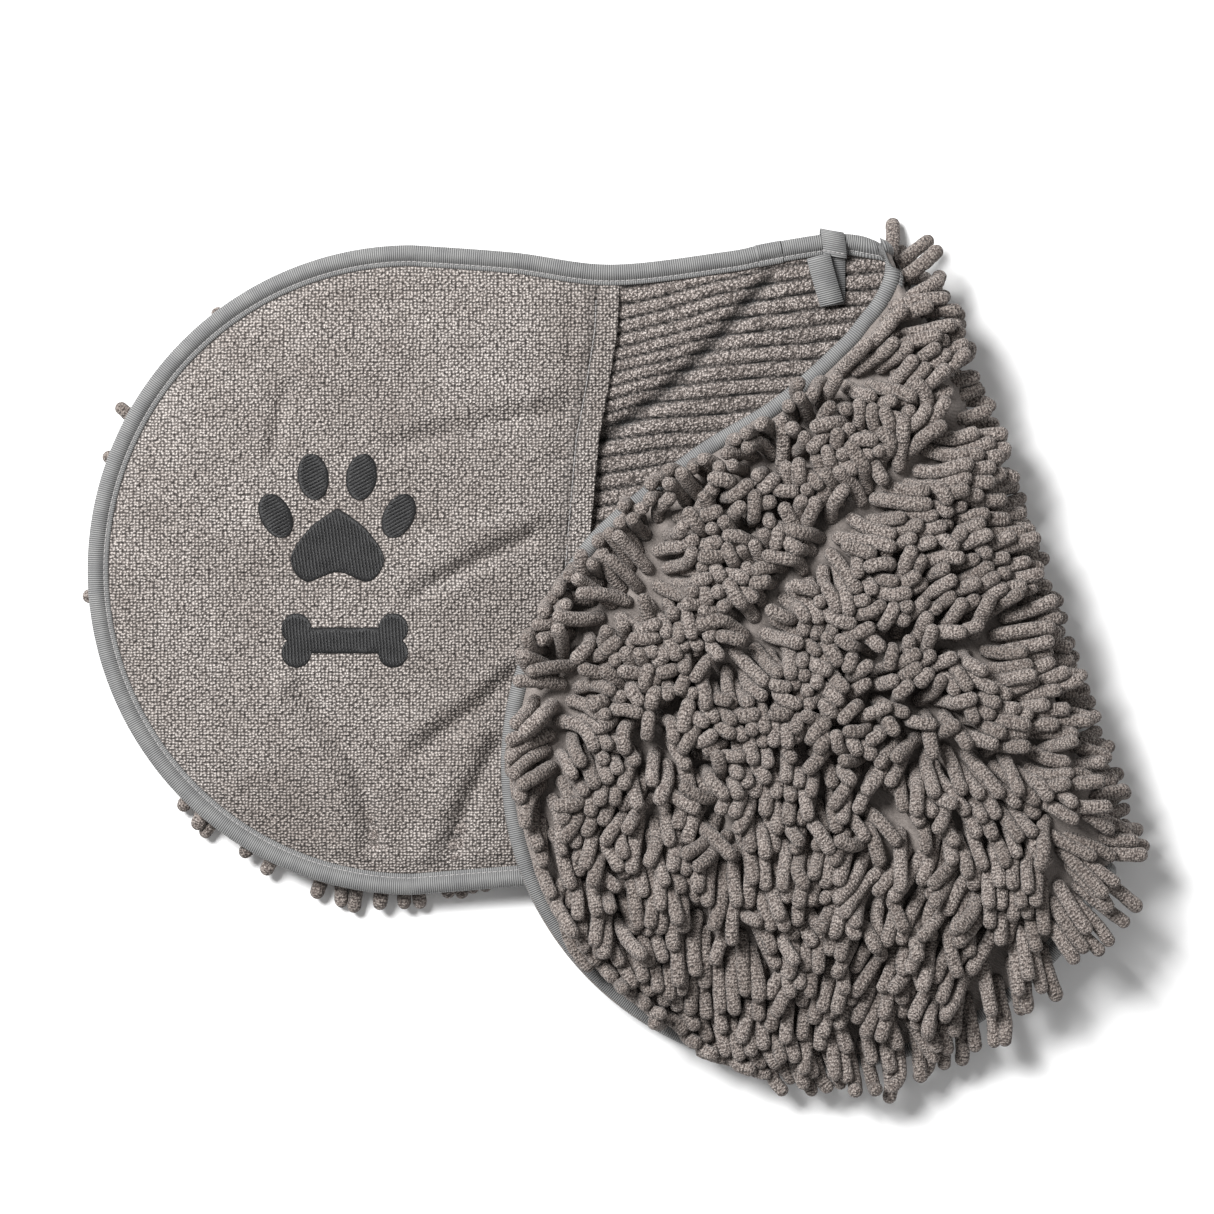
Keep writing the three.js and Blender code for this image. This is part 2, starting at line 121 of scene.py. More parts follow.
def smooth(knots, count):
    """Points on smooth curves (curve, point, axis) through all their knots but the first and last."""
    last = knots.shape[1] - 3
    u = np.linspace(0, last, count)
    i = np.minimum(u.astype(int), last - 1)
    t = (u - i)[None, :, None]
    a, b, c, d = (knots[:, i + k] for k in range(4))
    ahead, behind = (c - a) / 2, (d - b) / 2
    return b + t * ahead + t**2 * (3 * (c - b) - 2 * ahead - behind) + t**3 * (2 * (b - c) + ahead + behind)


def curve_through(points, count=90):
    """A smooth curve through the points."""
    p = np.asarray(points, float)
    return smooth(np.vstack([p[:1], p, p[-1:]])[None], count)[0]


def travel_along(line):
    return np.concatenate([[0], np.cumsum(np.linalg.norm(np.diff(line, axis=0), axis=1))])


def at_travel(line, distance):
    s = travel_along(line)
    return np.stack([np.interp(distance, s, line[:, k]) for k in range(line.shape[1])], -1)


def nearest_on(line, points):
    """The distance from each plan point to a line of points, and the way from the line to it."""
    flat = np.asarray(points, float).reshape(-1, 2)
    best = np.full(len(flat), np.inf)
    way = np.zeros_like(flat)
    for a, b in zip(line[:-1], line[1:]):
        run = b - a
        t = np.clip(((flat - a) @ run) / max(run @ run, 1e-9), 0, 1)
        off = flat - (a + t[:, None] * run)
        d = np.hypot(off[:, 0], off[:, 1])
        closer = d < best
        best[closer] = d[closer]
        way[closer] = off[closer]
    shape = np.asarray(points).shape
    return best.reshape(shape[:-1]), way.reshape(shape)


def noise(points, scale, seed):
    """Smooth noise from -1 to 1 over plan points or points in space."""
    p = np.asarray(points, float) / scale
    table = np.random.default_rng(seed).uniform(-1, 1, 4096)
    cell = np.floor(p).astype(int)
    t = ease(p - cell, 0, 1)
    total = 0
    for bits in range(2 ** p.shape[-1]):
        step = np.array([(bits >> k) & 1 for k in range(p.shape[-1])])
        share = np.prod(np.where(step, t, 1 - t), axis=-1)
        key = (cell + step) @ np.array([73, 1571, 2903])[: p.shape[-1]]
        total = total + share * table[key % 4096]
    return total


# ---- The two halves in plan ----

FOLD_END = arc(UPPER_CENTRE, UPPER_RADIUS, -22, -22, 1)[0]
FOLD_WAY = unit(FOLD_END - FOLD_TOP)
FOLD_OUT = np.array([-FOLD_WAY[1], FOLD_WAY[0]])
FOLD_LENGTH = np.linalg.norm(FOLD_END - FOLD_TOP)


def inside_fold(p):
    return -(np.asarray(p) - FOLD_TOP) @ FOLD_OUT


class Half:
    """One half in plan. Its sides a and b run from its pole, the round end's middle, to the fold's ends."""

    def __init__(self, name, centre, axis, side_a, side_b, mouth):
        self.name, self.centre, self.axis = name, np.asarray(centre, float), unit(np.array(axis))
        self.a, self.b, self.mouth = side_a, side_b, mouth
        self.rim = np.vstack([side_b[::-1], side_a[1:]])
        self.edge_length = travel_along(self.rim)[-1]
        self.body = f"{name}_half"
        self.flipped = name == "upper"
        self.up = np.array([0, 0, -1.0 if self.flipped else 1.0])

    def nodes(self, start, *at_fold):
        """The CAD nodes of this kind in the half. The lower half's pieces stand for those at the fold too."""
        return [start + end for end in (self.name, *(() if self.flipped else at_fold))]

    def seam(self, p):
        return nearest_on(self.rim[::3], p)[0]

    def at(self, share, across):
        """Plan points from their share of the way from pole to fold, and of the way from side b to side a."""
        a, b = (at_travel(side, share * travel_along(side)[-1]) for side in (self.a, self.b))
        return b + np.asarray(across)[..., None] * (a - b)

    def hang(self, p):
        if not self.flipped:
            return np.zeros(np.asarray(p).shape[:-1])
        sag = EDGE_SAG * (1 - ease(self.seam(p), SEAM_DEPTH, 60))
        droop = OVERHANG_DROOP * ease(-p[..., 1], 150, 275)
        return (sag + droop) * ease(inside_fold(p), 10, 65)

    def height(self, level, p):
        return FOLDED_TOP - level - self.hang(p) if self.flipped else level + self.hang(p)

    def raised(self, level, p):
        return np.concatenate([p, self.height(level, p)[..., None]], -1)

    def before_mouth(self, p):
        return self.mouth(p) - (p - self.centre) @ self.axis


def lower_mouth(p):
    """The lower pocket's mouth slants a little and bulges at its top."""
    return np.interp(p[..., 1], [-170, -27, 24, 70, 97, 129, 153], [93, 92, 96, 100, 105, 110, 111])


lower_a = np.vstack([
    arc((0, 0), LOWER_RADIUS, 180, 90)[:-1],
    curve_through([
        (0, 175), (55, 171), (107, 164.5), (168, 171.3), (187, 175), (205, 178.3), (222, 180.8), (234, 181),
        (243, 179.8), FOLD_TOP,
    ], 120),
])
lower_b = np.vstack([
    arc((0, 0), LOWER_RADIUS, 180, 270)[:-1],
    curve_through([(0, -175), (58, -170.5), (150, -163.5), (250, -163.5), FOLD_END]),
])
upper_a = np.vstack([
    arc(UPPER_CENTRE, UPPER_RADIUS, 220, 156)[:-1],
    curve_through([
        arc(UPPER_CENTRE, UPPER_RADIUS, 156, 156, 1)[0],
        (84, 2.5), (105, 27.5), (152, 65), (194, 91), (229, 122), (240, 135), (246.6, 143.2), (251.6, 152.5),
        (253.4, 158.5), (253.6, 164.5), (252.2, 171), FOLD_TOP,
    ], 120),
])
upper_b = arc(UPPER_CENTRE, UPPER_RADIUS, 220, 338, 120)

lower = Half("lower", (0, 0), (1, 0), lower_a, lower_b, lower_mouth)
upper = Half("upper", UPPER_CENTRE, (0.764, 0.645), upper_a, upper_b, lambda p: 86.0)
HALVES = (lower, upper)


def unfolded(half, p):
    """Where a plan point would be if the towel lay open, so that the ribs run on across the fold."""
    return p + 2 * inside_fold(p)[..., None] * FOLD_OUT if half.flipped else p


# ---- Surfaces, as local levels ----

RIB_PITCH = 8.6
RIB_HEIGHT = 3.0
RIB_BREAKS = (139, 217, 295, 373, 451)  # faint creases across the ribs
RIB_CREST = 0.9  # how far the ribs' crests stand above the lining's level

# Wrinkles are [plan points, height, width].
LINING_CREASE = [(98, 68), (128, 90), (158, 118), (192, 158)]
LINING_WRINKLES = [
    [LINING_CREASE, -3.6, 3.6],
    [[(106, 62), (138, 84), (168, 112), (200, 150)], 1.6, 5],
    [[(108, 96), (140, 122), (165, 150)], 1.2, 9],
    [[(118, 62), (160, 94), (205, 132)], 1.4, 8],
    [[(105, 28), (150, 52)], 1.2, 8],
]
TERRY_WRINKLES = [
    [[(84, 88), (40, 78), (-9, 67)], -2.8, 6],
    [[(84, 98), (45, 90), (0, 82)], 2.0, 9],
    [[(64, 18), (35, 4), (2, -13)], -4.2, 5],
    [[(66, 30), (38, 17), (8, 2)], 3.4, 9],
    [[(53, -57), (27, -80), (2, -98)], -4.0, 5.5],
    [[(58, -44), (32, -66), (4, -84)], 3.2, 8],
    [[(46, -95), (30, -126), (20, -159)], -4.2, 5],
    [[(34, -90), (18, -122), (8, -155)], 3.2, 8],
    [[(-60, -64), (-29, -108), (-21, -146)], -4.2, 5],
    [[(-72, -68), (-42, -112), (-34, -150)], 3.2, 8],
    [[(-88, -121), (-62, -149)], -2.6, 5],
    [[(-75, 62), (-68, 98)], -2.6, 4],
    [[(-20, 120), (40, 128), (90, 120)], 1.2, 12],
    [[(88, 150), (84, 100), (80, 40)], -1.0, 4],
]


def creases(p, wrinkles):
    total = 0
    for points, height, width in wrinkles:
        distance, _ = nearest_on(curve_through(points, 14), p)
        total = total + height * bell(distance, width)
    return total


def rib_crown(p):
    """How high the lining's ribs are, from 0 in a groove to 1. They rise more steeply before the crease."""
    wander = 1.7 * noise(p, 46, 3) + 0.6 * noise(p, 15, 4)
    crease_x = np.interp(p[..., 1], [y for _, y in LINING_CREASE], [x for x, _ in LINING_CREASE])
    before = np.clip(crease_x - p[..., 0], 0, 60) * ease(p[..., 1], 55, 80)
    place = (p[..., 1] - 0.09 * p[..., 0] + 0.2 * before + wander) / RIB_PITCH
    crown = np.sqrt(np.maximum(1 - np.abs(2 * (place - np.floor(place)) - 1) ** 2.3, 0))
    across = sum(bell(p[..., 0] - x + 2 * noise(p, 30, 5), 1.2) for x in RIB_BREAKS)
    return crown * (1 - 0.25 * across)


HEM_WIDTH = 13.0
HEM_SEAM = 11.5  # how far behind the mouth the hem is sewn


def sewn_down(half, p, level, sewn_level):
    """Brings a level to its place inside the binding near the half's edge."""
    return sewn_level + (level - sewn_level) * ease(half.seam(p), 9, 20)


def lining_level(half, p):
    flat = unfolded(half, p)
    wrinkled = creases(p, LINING_WRINKLES) if not half.flipped else 0.8 * noise(p, 40, 8)
    loose = ease(half.seam(p), 8, 24) * ease(inside_fold(p), 0, 20)
    ribbed = RIB_CREST + RIB_HEIGHT * (rib_crown(flat) - 1) + 0.35 * noise(p, 3.2, 6)
    return sewn_down(half, p, LINING_LEVEL + ribbed + wrinkled * loose, BINDING_LEVEL - 1.0)


def pocket_level(half, p):
    seam = half.seam(p)
    back = half.before_mouth(p)
    shut = ease(back, 75, 0) * (1 - bell(p[..., 1] - 48, 26))
    puff = (POCKET_SPACE - 2.2) * ease(seam, 8, 60) * (1 - 0.75 * shut)
    crease = creases(p, TERRY_WRINKLES) if not half.flipped else 1.2 * noise(p, 34, 9)
    hem = 2.0 * ease(back, 15, 13.2) - 1.8 * bell(back - HEM_SEAM, 1.6) + 0.5 * noise(p, 5, 13)
    hem += 1.1 * noise(p, 7, 15) * bell(back - 12, 7)
    pull = 0.85 * noise(p, 26, 10) + 0.45 * noise(p, 9, 11)
    level = TERRY_LEVEL + 1.4 + puff + (crease + pull) * ease(seam, 10, 30) + hem
    return sewn_down(half, p, level, BINDING_LEVEL - 0.4)


LINING_ROOM = 2.0  # how far the lower half's backing stays under its level, to clear the lining's grooves

# Ridges of the upper half's backing show between the strands, which lean away from them.
RIDGES = [
    [[(284, 97), (274, 75), (254, 47), (230, 26), (222, 8), (201, -6), (188, -26), (170, -43)], 7.0, 9],
    [[(139, 29), (131, 11), (121, -15), (103, -27), (90, -41), (84, -56), (72, -76)], 5.0, 8],
    [[(75, -76), (74, -110), (77, -145), (90, -185), (110, -228)], 3.5, 7],
    [[(352, -113), (345, -124), (339, -140), (337, -178)], 5.0, 8],
    [[(250, -150), (256, -183)], 3.0, 7],
    [[(306, -36), (300, -46)], 2.5, 7],
    [[(170, -130), (172, -142)], 2.5, 7],
]


def backing_level(half, p):
    bumps = creases(p, RIDGES) + 2.6 * ease(noise(p, 38, 12), -1, 1) if half.flipped else LINING_ROOM
    return sewn_down(half, p, BACKING_LEVEL - bumps, BINDING_LEVEL - 1.8)


# ---- Meshes ----


def add_object(name, data):
    thing = bpy.data.objects.new(name, data)
    bpy.context.scene.collection.objects.link(thing)
    return thing


def make_mesh(name, material, points, quads, tris=(), uv=None, tone=None):
    """A smooth mesh from plan points. uv is per point, in metres, and the tone is a colour factor per point,
    which carries painted shade.
    """
    mesh = bpy.data.meshes.new(name)
    co = to_row(points).astype(np.float32)
    loops = np.concatenate([np.ravel(quads), np.ravel(tris)]).astype(np.int32)
    starts = np.concatenate([np.arange(len(quads)) * 4, len(quads) * 4 + np.arange(len(tris)) * 3])
    mesh.vertices.add(len(co))
    mesh.vertices.foreach_set("co", co.ravel())
    mesh.loops.add(len(loops))
    mesh.loops.foreach_set("vertex_index", loops)
    mesh.polygons.add(len(starts))
    mesh.polygons.foreach_set("loop_start", starts.astype(np.int32))
    mesh.polygons.foreach_set("use_smooth", np.ones(len(starts), bool))
    if uv is not None:
        layer = mesh.uv_layers.new(name="cloth")
        layer.data.foreach_set("uv", np.asarray(uv, np.float32)[loops].ravel())
    if tone is not None:
        attribute = mesh.attributes.new("tone", "FLOAT", "POINT")
        attribute.data.foreach_set("value", np.asarray(tone, np.float32))
    mesh.update()
    mesh.validate()
    mesh.materials.append(material)
    return add_object(name, mesh)


def finish(piece, body, slot, *replaced):
    """Gives a piece its body, if it has one, and hides the nodes that it replaces. Its slot is not used."""
    if body:
        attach(piece, body)
    if replaced:
        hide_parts(*replaced)
    return piece


def grid_quads(rows, columns, close_columns=False):
    i = np.arange(rows - 1)[:, None] * columns
    j = np.arange(columns if close_columns else columns - 1)
    k = (j + 1) % columns
    return np.stack([i + j, i + k, i + columns + k, i + columns + j], -1).reshape(-1, 4)


def grid_piece(name, points, material, flip=False, tone=None):
    quads = grid_quads(*points.shape[:2])
    tone = None if tone is None else tone.ravel()
    return make_mesh(name, material, points.reshape(-1, 3), quads[:, ::-1] if flip else quads, tone=tone)


def sweep_piece(name, path, inward, normal, section, material, bent=None):
    """A solid with a closed section of [inward, normal] pairs, swept along a path in space.

    bent picks the rows of points to be bent over the fold.
    """
    section = np.asarray(section, float)
    points = path[:, None] + section[None, :, :1] * inward[:, None] + section[None, :, 1:] * normal[:, None]
    if bent:
        points[bent] = over_fold(points[bent])
    rows, columns = points.shape[:2]
    across = travel_along(np.vstack([section, section[:1]]))[:-1]
    uv = np.stack(np.meshgrid(travel_along(path), across, indexing="ij"), -1).reshape(-1, 2) / 1000
    tris = []
    for start, turn in ((0, 1), ((rows - 1) * columns, -1)):
        ring = start + np.arange(columns)
        half = columns // 2
        fan = [[ring[i], ring[columns - 1 - i], ring[columns - 2 - i]] for i in range(half - 1)]
        fan += [[ring[i], ring[columns - 2 - i], ring[i + 1]] for i in range(half - 1)]
        tris += [t[::turn] for t in fan]
    return make_mesh(name, material, points.reshape(-1, 3), grid_quads(rows, columns, True), tris, uv)


def strands(nodes, radius, sides, rings, fuzz=0.0, tips=3, seed=1):
    """Round-ended solid strands along nodes (strand, node, xyz). Returns points, quads and tris."""
    count = len(nodes)
    ends = 2 * nodes[:, :1] - nodes[:, 1:2], 2 * nodes[:, -1:] - nodes[:, -2:-1]
    centre = smooth(np.concatenate([ends[0], nodes, ends[1]], 1), rings)
    tangent = unit(np.gradient(centre, axis=1))
    side = np.zeros_like(centre)
    start = np.where(np.abs(tangent[:, 0, 2:]) < 0.9, [[0, 0, 1.0]], [[1.0, 0, 0]])
    side[:, 0] = unit(np.cross(tangent[:, 0], start))
    for k in range(1, rings):
        last = side[:, k - 1]
        side[:, k] = unit(last - np.sum(last * tangent[:, k], 1, keepdims=True) * tangent[:, k])
    rise = np.radians(np.linspace(0, 90, tips + 1)[1:-1])
    size = np.concatenate([np.cos(rise)[::-1], np.ones(rings), np.cos(rise)])
    reach = np.concatenate([-np.sin(rise)[::-1], np.zeros(rings), np.sin(rise)])
    pick = np.concatenate([np.zeros(tips - 1, int), np.arange(rings), np.full(tips - 1, rings - 1)])
    r = np.reshape(radius, (-1, 1, 1))
    centre, tangent, side = centre[:, pick], tangent[:, pick], side[:, pick]
    centre = centre + tangent * r * reach[None, :, None]
    other = np.cross(tangent, side)
    turn = 2 * np.pi * np.arange(sides) / sides
    random = np.random.default_rng(seed)
    rough = 1 + fuzz * random.uniform(-1, 1, (count, len(pick), sides))
    spoke = side[:, :, None] * np.cos(turn)[:, None] + other[:, :, None] * np.sin(turn)[:, None]
    ring = centre[:, :, None] + spoke * (r * size[None, :, None])[..., None] * rough[..., None]
    cap = 0.08 * r[:, 0]
    poles = np.stack([centre[:, 0] - tangent[:, 0] * cap, centre[:, -1] + tangent[:, -1] * cap], 1)
    each = len(pick) * sides + 2
    points = np.concatenate([ring.reshape(count, -1, 3), poles], 1).reshape(-1, 3)
    first = (np.arange(count) * each)[:, None, None]
    quads = (first + grid_quads(len(pick), sides, True)).reshape(-1, 4)
    j = np.arange(sides)
    k = (j + 1) % sides
    last = (len(pick) - 1) * sides
    low = np.stack([k, j, np.full(sides, each - 2)], 1)
    high = np.stack([last + j, last + k, np.full(sides, each - 1)], 1)
    return points, quads, (first + np.concatenate([low, high])).reshape(-1, 3)


def flat_area(grid):
    """The area in square metres of a plan grid of points."""
    a, b = grid[1:, 1:] - grid[:-1, :-1], grid[1:, :-1] - grid[:-1, 1:]
    return np.sum(np.abs(a[..., 0] * b[..., 1] - a[..., 1] * b[..., 0])) / 2e6


# ---- Materials ----


class Look:
    """A Principled material whose colour and bump are built from a few noise layers in object space."""

    def __init__(self, name, roughness=0.9, sheen=0.0, specular=0.25):
        self.material = bpy.data.materials.new(name)
        self.material.use_nodes = True
        self.tree = self.material.node_tree
        self.shader = self.tree.nodes["Principled BSDF"].inputs
        self.shader["Roughness"].default_value = roughness
        self.shader["Specular IOR Level"].default_value = specular
        self.shader["Sheen Weight"].default_value = sheen
        self.shader["Sheen Roughness"].default_value = 0.45
        self.place = self.node("ShaderNodeTexCoord").outputs["Object"]

    def put(self, value, socket):
        if isinstance(value, (int, float, tuple)):
            socket.default_value = value
        else:
            self.tree.links.new(value, socket)

    def node(self, kind, sockets=None, **values):
        """A new node. Each of the sockets gets a value, or a link from another node's output."""
        made = self.tree.nodes.new(kind)
        for key, value in values.items():
            setattr(made, key, value)
        for key, value in (sockets or {}).items():
            self.put(value, made.inputs[key])
        return made

    def at(self, size, stretch):
        """A pattern's place and scale, for features of about size millimetres."""
        mapping = self.node("ShaderNodeMapping", {"Scale": stretch, "Vector": self.place})
        return {"Scale": 1000 / size, "Vector": mapping.outputs["Vector"]}

    def noise(self, size, detail, stretch=(1, 1, 1)):
        return self.node("ShaderNodeTexNoise", {"Detail": detail, **self.at(size, stretch)}).outputs["Fac"]

    def cells(self, size, randomness, stretch=(1, 1, 1), dimensions="3D"):
        sockets = {"Randomness": randomness, **self.at(size, stretch)}
        return self.node("ShaderNodeTexVoronoi", sockets, voronoi_dimensions=dimensions).outputs["Distance"]

    def cloth_map(self):
        """The two coordinates of the mesh's own map."""
        map_place = self.node("ShaderNodeUVMap", uv_map="cloth").outputs["UV"]
        return self.node("ShaderNodeSeparateXYZ", {"Vector": map_place}).outputs[:2]

    def tone(self):
        return self.node("ShaderNodeAttribute", attribute_name="tone").outputs["Fac"]

    def maths(self, operation, a, b=0.0):
        return self.node("ShaderNodeMath", {0: a, 1: b}, operation=operation).outputs[0]

    def total(self, *terms):
        """A sum of numbers, outputs and (output, factor) pairs."""
        values = [self.maths("MULTIPLY", *term) if isinstance(term, tuple) else term for term in terms]
        whole = values[0]
        for value in values[1:]:
            whole = self.maths("ADD", whole, value)
        return whole

    def waves(self, along, pitch, wander=0.0):
        """Bands from 0 to 1 at this pitch in millimetres, along a coordinate in metres."""
        turn = self.maths("MULTIPLY", along, 2000 * math.pi / pitch)
        if wander:
            turn = self.total(turn, (self.noise(2.4, 1), wander))
        return self.total((self.maths("SINE", turn), 0.5), 0.5)

    def ramp(self, value, *stops):
        made = self.node("ShaderNodeValToRGB", {"Fac": value})
        elements = made.color_ramp.elements
        for index, (at, color) in enumerate(stops):
            element = elements[index] if index < 2 else elements.new(at)
            element.position = at
            element.color = (*linear(color), 1)
        return made.outputs["Color"]

    def color(self, base, *shades):
        """Sets the colour: a base darkened by each of the shades."""
        for shade in shades:
            base = self.node("ShaderNodeMix", {6: base, 7: shade, 0: 1.0}, data_type="RGBA",
                             blend_type="MULTIPLY").outputs[2]
        self.put(base, self.shader["Base Color"])

    def bump(self, *layers):
        """Bump from (height, depth in millimetres) layers, each on top of the last."""
        below = {}
        for height, depth in layers:
            made = self.node("ShaderNodeBump", {"Distance": depth / 1000, "Height": height, **below})
            below = {"Normal": made.outputs["Normal"]}
        self.put(below["Normal"], self.shader["Normal"])


def linear(rgb):
    """sRGB 0 to 255 as linear 0 to 1."""
    return tuple(((c / 255 + 0.055) / 1.055) ** 2.4 for c in rgb)


WHITE = (255, 255, 255)


def chenille_look():
    """Short pile in rough rings round each strand. The map counts along the strand and gives it a tone."""
    look = Look("chenille", sheen=0.15)
    along, tone = look.cloth_map()
    rings_up = look.waves(along, 1.7, 9.0)
    fine = look.noise(0.6, 3)
    tufts = look.total((look.cells(1.25, 0.9), -0.7), (rings_up, 0.22))
    grain = look.total(tufts, fine, 0.28)
    base = look.ramp(grain, (0.2, (66, 58, 54)), (0.5, (124, 114, 109)), (0.8, (188, 178, 171)))
    patches = look.total((look.noise(26, 2), 0.4), (tone, 0.6))
    look.color(base, look.ramp(patches, (0.1, (212, 210, 208)), (0.9, WHITE)))
    look.bump((look.noise(2.6, 2), 0.5), (tufts, 1.5), (fine, 0.6))
    return look.material


def backing_look():
    look = Look("backing", roughness=0.85, sheen=0.2)
    look.color(look.ramp(look.noise(0.8, 3), (0.3, (112, 105, 101)), (0.7, (146, 138, 133))))
    sockets = {"Scale": 260, "Distortion": 1.5, "Vector": look.place}
    twill = look.node("ShaderNodeTexWave", sockets, wave_type="BANDS", bands_direction="DIAGONAL")
    look.bump((look.noise(3, 2), 0.3), (twill.outputs["Fac"], 0.15))
    return look.material


def terry_look():
    """Small loops in rows, with painted shade from the tone attribute in the hem's stitch groove and at the
    foot of the hem's step.
    """
    look = Look("terry", sheen=0.1)
    tufts = look.maths("MULTIPLY", look.cells(1.7, 0.5, (0.9, 1.05, 1), "2D"), -0.85)
    fine = look.noise(0.8, 2)
    grain = look.total(tufts, 0.5, (fine, 0.7))
    base = look.ramp(grain, (0.22, (56, 51, 49)), (0.5, (124, 117, 113)), (0.82, (232, 224, 218)))
    patches = look.total(look.noise(60, 2), (look.noise(13, 3), 0.6))
    patch = look.ramp(patches, (0.55, (222, 219, 217)), (1.0, WHITE))
    # The last ramp is painted shade from the tone attribute, in the hem's groove and at its step.
    look.color(base, patch, look.ramp(look.tone(), (0.0, (96, 92, 90)), (1.0, WHITE)))
    look.bump((tufts, 2.0), (fine, 0.8))
    return look.material


def lining_look():
    """Ribs of short pile, with painted shade in the grooves between them."""
    look = Look("lining", sheen=0.15)
    tufts = look.cells(1.5, 0.9)
    fine = look.noise(0.6, 3)
    grain = look.total((tufts, -0.5), fine, 0.22)
    base = look.ramp(grain, (0.3, (60, 54, 51)), (0.5, (129, 120, 115)), (0.71, (216, 206, 200)))
    # Painted shade from the tone attribute, dark in the ribs' grooves and along the crease.
    look.color(base, look.ramp(look.tone(), (0.3, (34, 30, 28)), (0.9, WHITE)))
    look.bump((look.noise(3.5, 2), 0.5), (look.maths("MULTIPLY", tufts, -1.0), 1.2), (fine, 0.7))
    return look.material


def tape_look():
    """Grosgrain: fine ribs across the tape, which its map's first coordinate counts along it."""
    look = Look("binding_tape", roughness=0.6)
    ribs_up = look.waves(look.cloth_map()[0], TAPE_RIB)
    base = look.ramp(ribs_up, (0.0, (88, 88, 88)), (0.6, (138, 138, 137)), (1.0, (152, 152, 151)))
    look.color(base, look.ramp(look.noise(9, 3), (0.3, (228, 228, 230)), (0.7, WHITE)))
    look.bump((look.noise(6, 2), 0.25), (ribs_up, 0.3))
    return look.material


def thread_look(name, dark, light, roughness):
    look = Look(name, roughness, specular=0.5)
    look.color(look.ramp(look.noise(0.5, 2), (0.3, dark), (0.7, light)))
    look.bump((look.noise(0.35, 1), 0.06))
    return look.material


TAPE_RIB = 1.15
CHENILLE, BACKING, TERRY, LINING, TAPE = (
    make() for make in (chenille_look, backing_look, terry_look, lining_look, tape_look)
)
THREAD = thread_look("sewing_thread", (134, 131, 130), (170, 168, 167), 0.6)
BLACK_THREAD = thread_look("embroidery_thread", (20, 20, 21), (46, 46, 47), 0.42)

# ---- Cloth of a half, with its half of the fold ----

FOLD_STEPS = 14
FOLD_MIDDLE = FOLDED_TOP / 2
BEND_WIDTH = 2.5


def round_fold(half, plan, level, turn):
    """Points of the cloth past the fold line. turn is 0 at the line and 90 at the fold's middle."""
    a = np.radians(turn)
    bulge = TOP_BULGE + (FOLD_BULGE - TOP_BULGE) * ease((plan - FOLD_TOP) @ FOLD_WAY, 12, 70)
    out = (bulge + LINING_LEVEL - level) * np.sin(a)
    rise = (FOLD_MIDDLE - level) * np.cos(a)
    z = FOLD_MIDDLE + rise if half.flipped else FOLD_MIDDLE - rise
    return np.concatenate([plan + out[..., None] * FOLD_OUT, z[..., None]], -1)


def half_cloth(half, level, fine_from, early_rows, rows, columns):
    """One half's cloth as a grid of points, from its pole to the middle of the fold.

    Its rows are close together at the pole, and again from the share fine_from of the way to the fold line.
    """
    early = fine_from * (1 - np.cos(np.linspace(0.04, np.pi / 2, early_rows)))
    shares = np.concatenate([early, np.linspace(fine_from, 1, rows + 1)[1:]])
    s, v = np.meshgrid(shares, np.linspace(0.006, 0.994, columns), indexing="ij")
    plan = half.at(s, v)
    levels = level(half, plan)
    turns = np.linspace(0, 90, FOLD_STEPS + 1)[1:, None] + np.zeros(columns)
    last = np.broadcast_to(plan[-1], (FOLD_STEPS, *plan[-1].shape))
    fold = round_fold(half, last, np.broadcast_to(levels[-1], turns.shape), turns)
    return np.concatenate([half.raised(levels, plan), fold])


def bend_at_fold(piece, half):
    """Bakes a piece's transform into its mesh; the piece is not bent. The ends of a short line out from the
    fold are worked out but not used.
    """
    line = FOLD_TOP + FOLD_WAY * FOLD_LENGTH / 2
    start, end = (Vector(to_row((*(line + out * FOLD_OUT), FOLD_MIDDLE))) for out in (0, BEND_WIDTH))
    if half.flipped:
        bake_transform(piece)
    else:
        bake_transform(piece)


def lining(half):
    rows, columns = (150, 190) if half.flipped else (230, 330)
    points = half_cloth(half, lining_level, 0.4, 40, rows, columns)
    plan = points[..., :2]
    # Painted shade, darkest in the ribs' grooves and, on the lower half, along the deep crease.
    tone = rib_crown(unfolded(half, plan))
    if not half.flipped:
        distance, _ = nearest_on(curve_through(LINING_CREASE, 14), plan)
        tone = tone * (1 - 0.55 * bell(distance, 3.5))
    piece = grid_piece(f"lining_cloth_{half.name}", points, LINING, flip=not half.flipped, tone=tone)
    bend_at_fold(piece, half)
    return finish(piece, None, "lining", *half.nodes("lining_", "fold"))


def backing(half):
    rows = columns = 190 if half.flipped else 60
    points = half_cloth(half, backing_level, 0.3, 30, rows, columns)
    piece = grid_piece(f"backing_cloth_{half.name}", points, BACKING, flip=half.flipped)
    bend_at_fold(piece, half)
    return finish(piece, None, "backing", *half.nodes("backing_", "fold"))


# ---- Pockets ----

HEM_LIP = [(0.55, -0.35), (0.75, -0.95), (0.45, -1.6), (-0.4, -1.9), (-5, -2.0), (-13, -2.0)]


def mouth_shares(half, across):
    """How far along the half the pocket's mouth is, for each place across it."""
    shares = np.linspace(0, 1, 400)
    s, v = np.meshgrid(shares, across, indexing="ij")
    before = half.before_mouth(half.at(s, v))
    index = np.argmax(before < 0, axis=0)
    columns = np.arange(len(across))
    here, prior = before[index, columns], before[index - 1, columns]
    return shares[index - 1] + (shares[1] - shares[0]) * prior / (prior - here)


def pocket_area(half):
    across = np.linspace(0, 1, 80)
    shares = np.linspace(0, 1, 80)[:, None]
    plan = half.at(shares * mouth_shares(half, across), np.broadcast_to(across, (80, 80)))
    hem_length = np.linalg.norm(plan[-1, -1] - plan[-1, 0])
    return flat_area(plan) + HEM_WIDTH * hem_length / 1e6


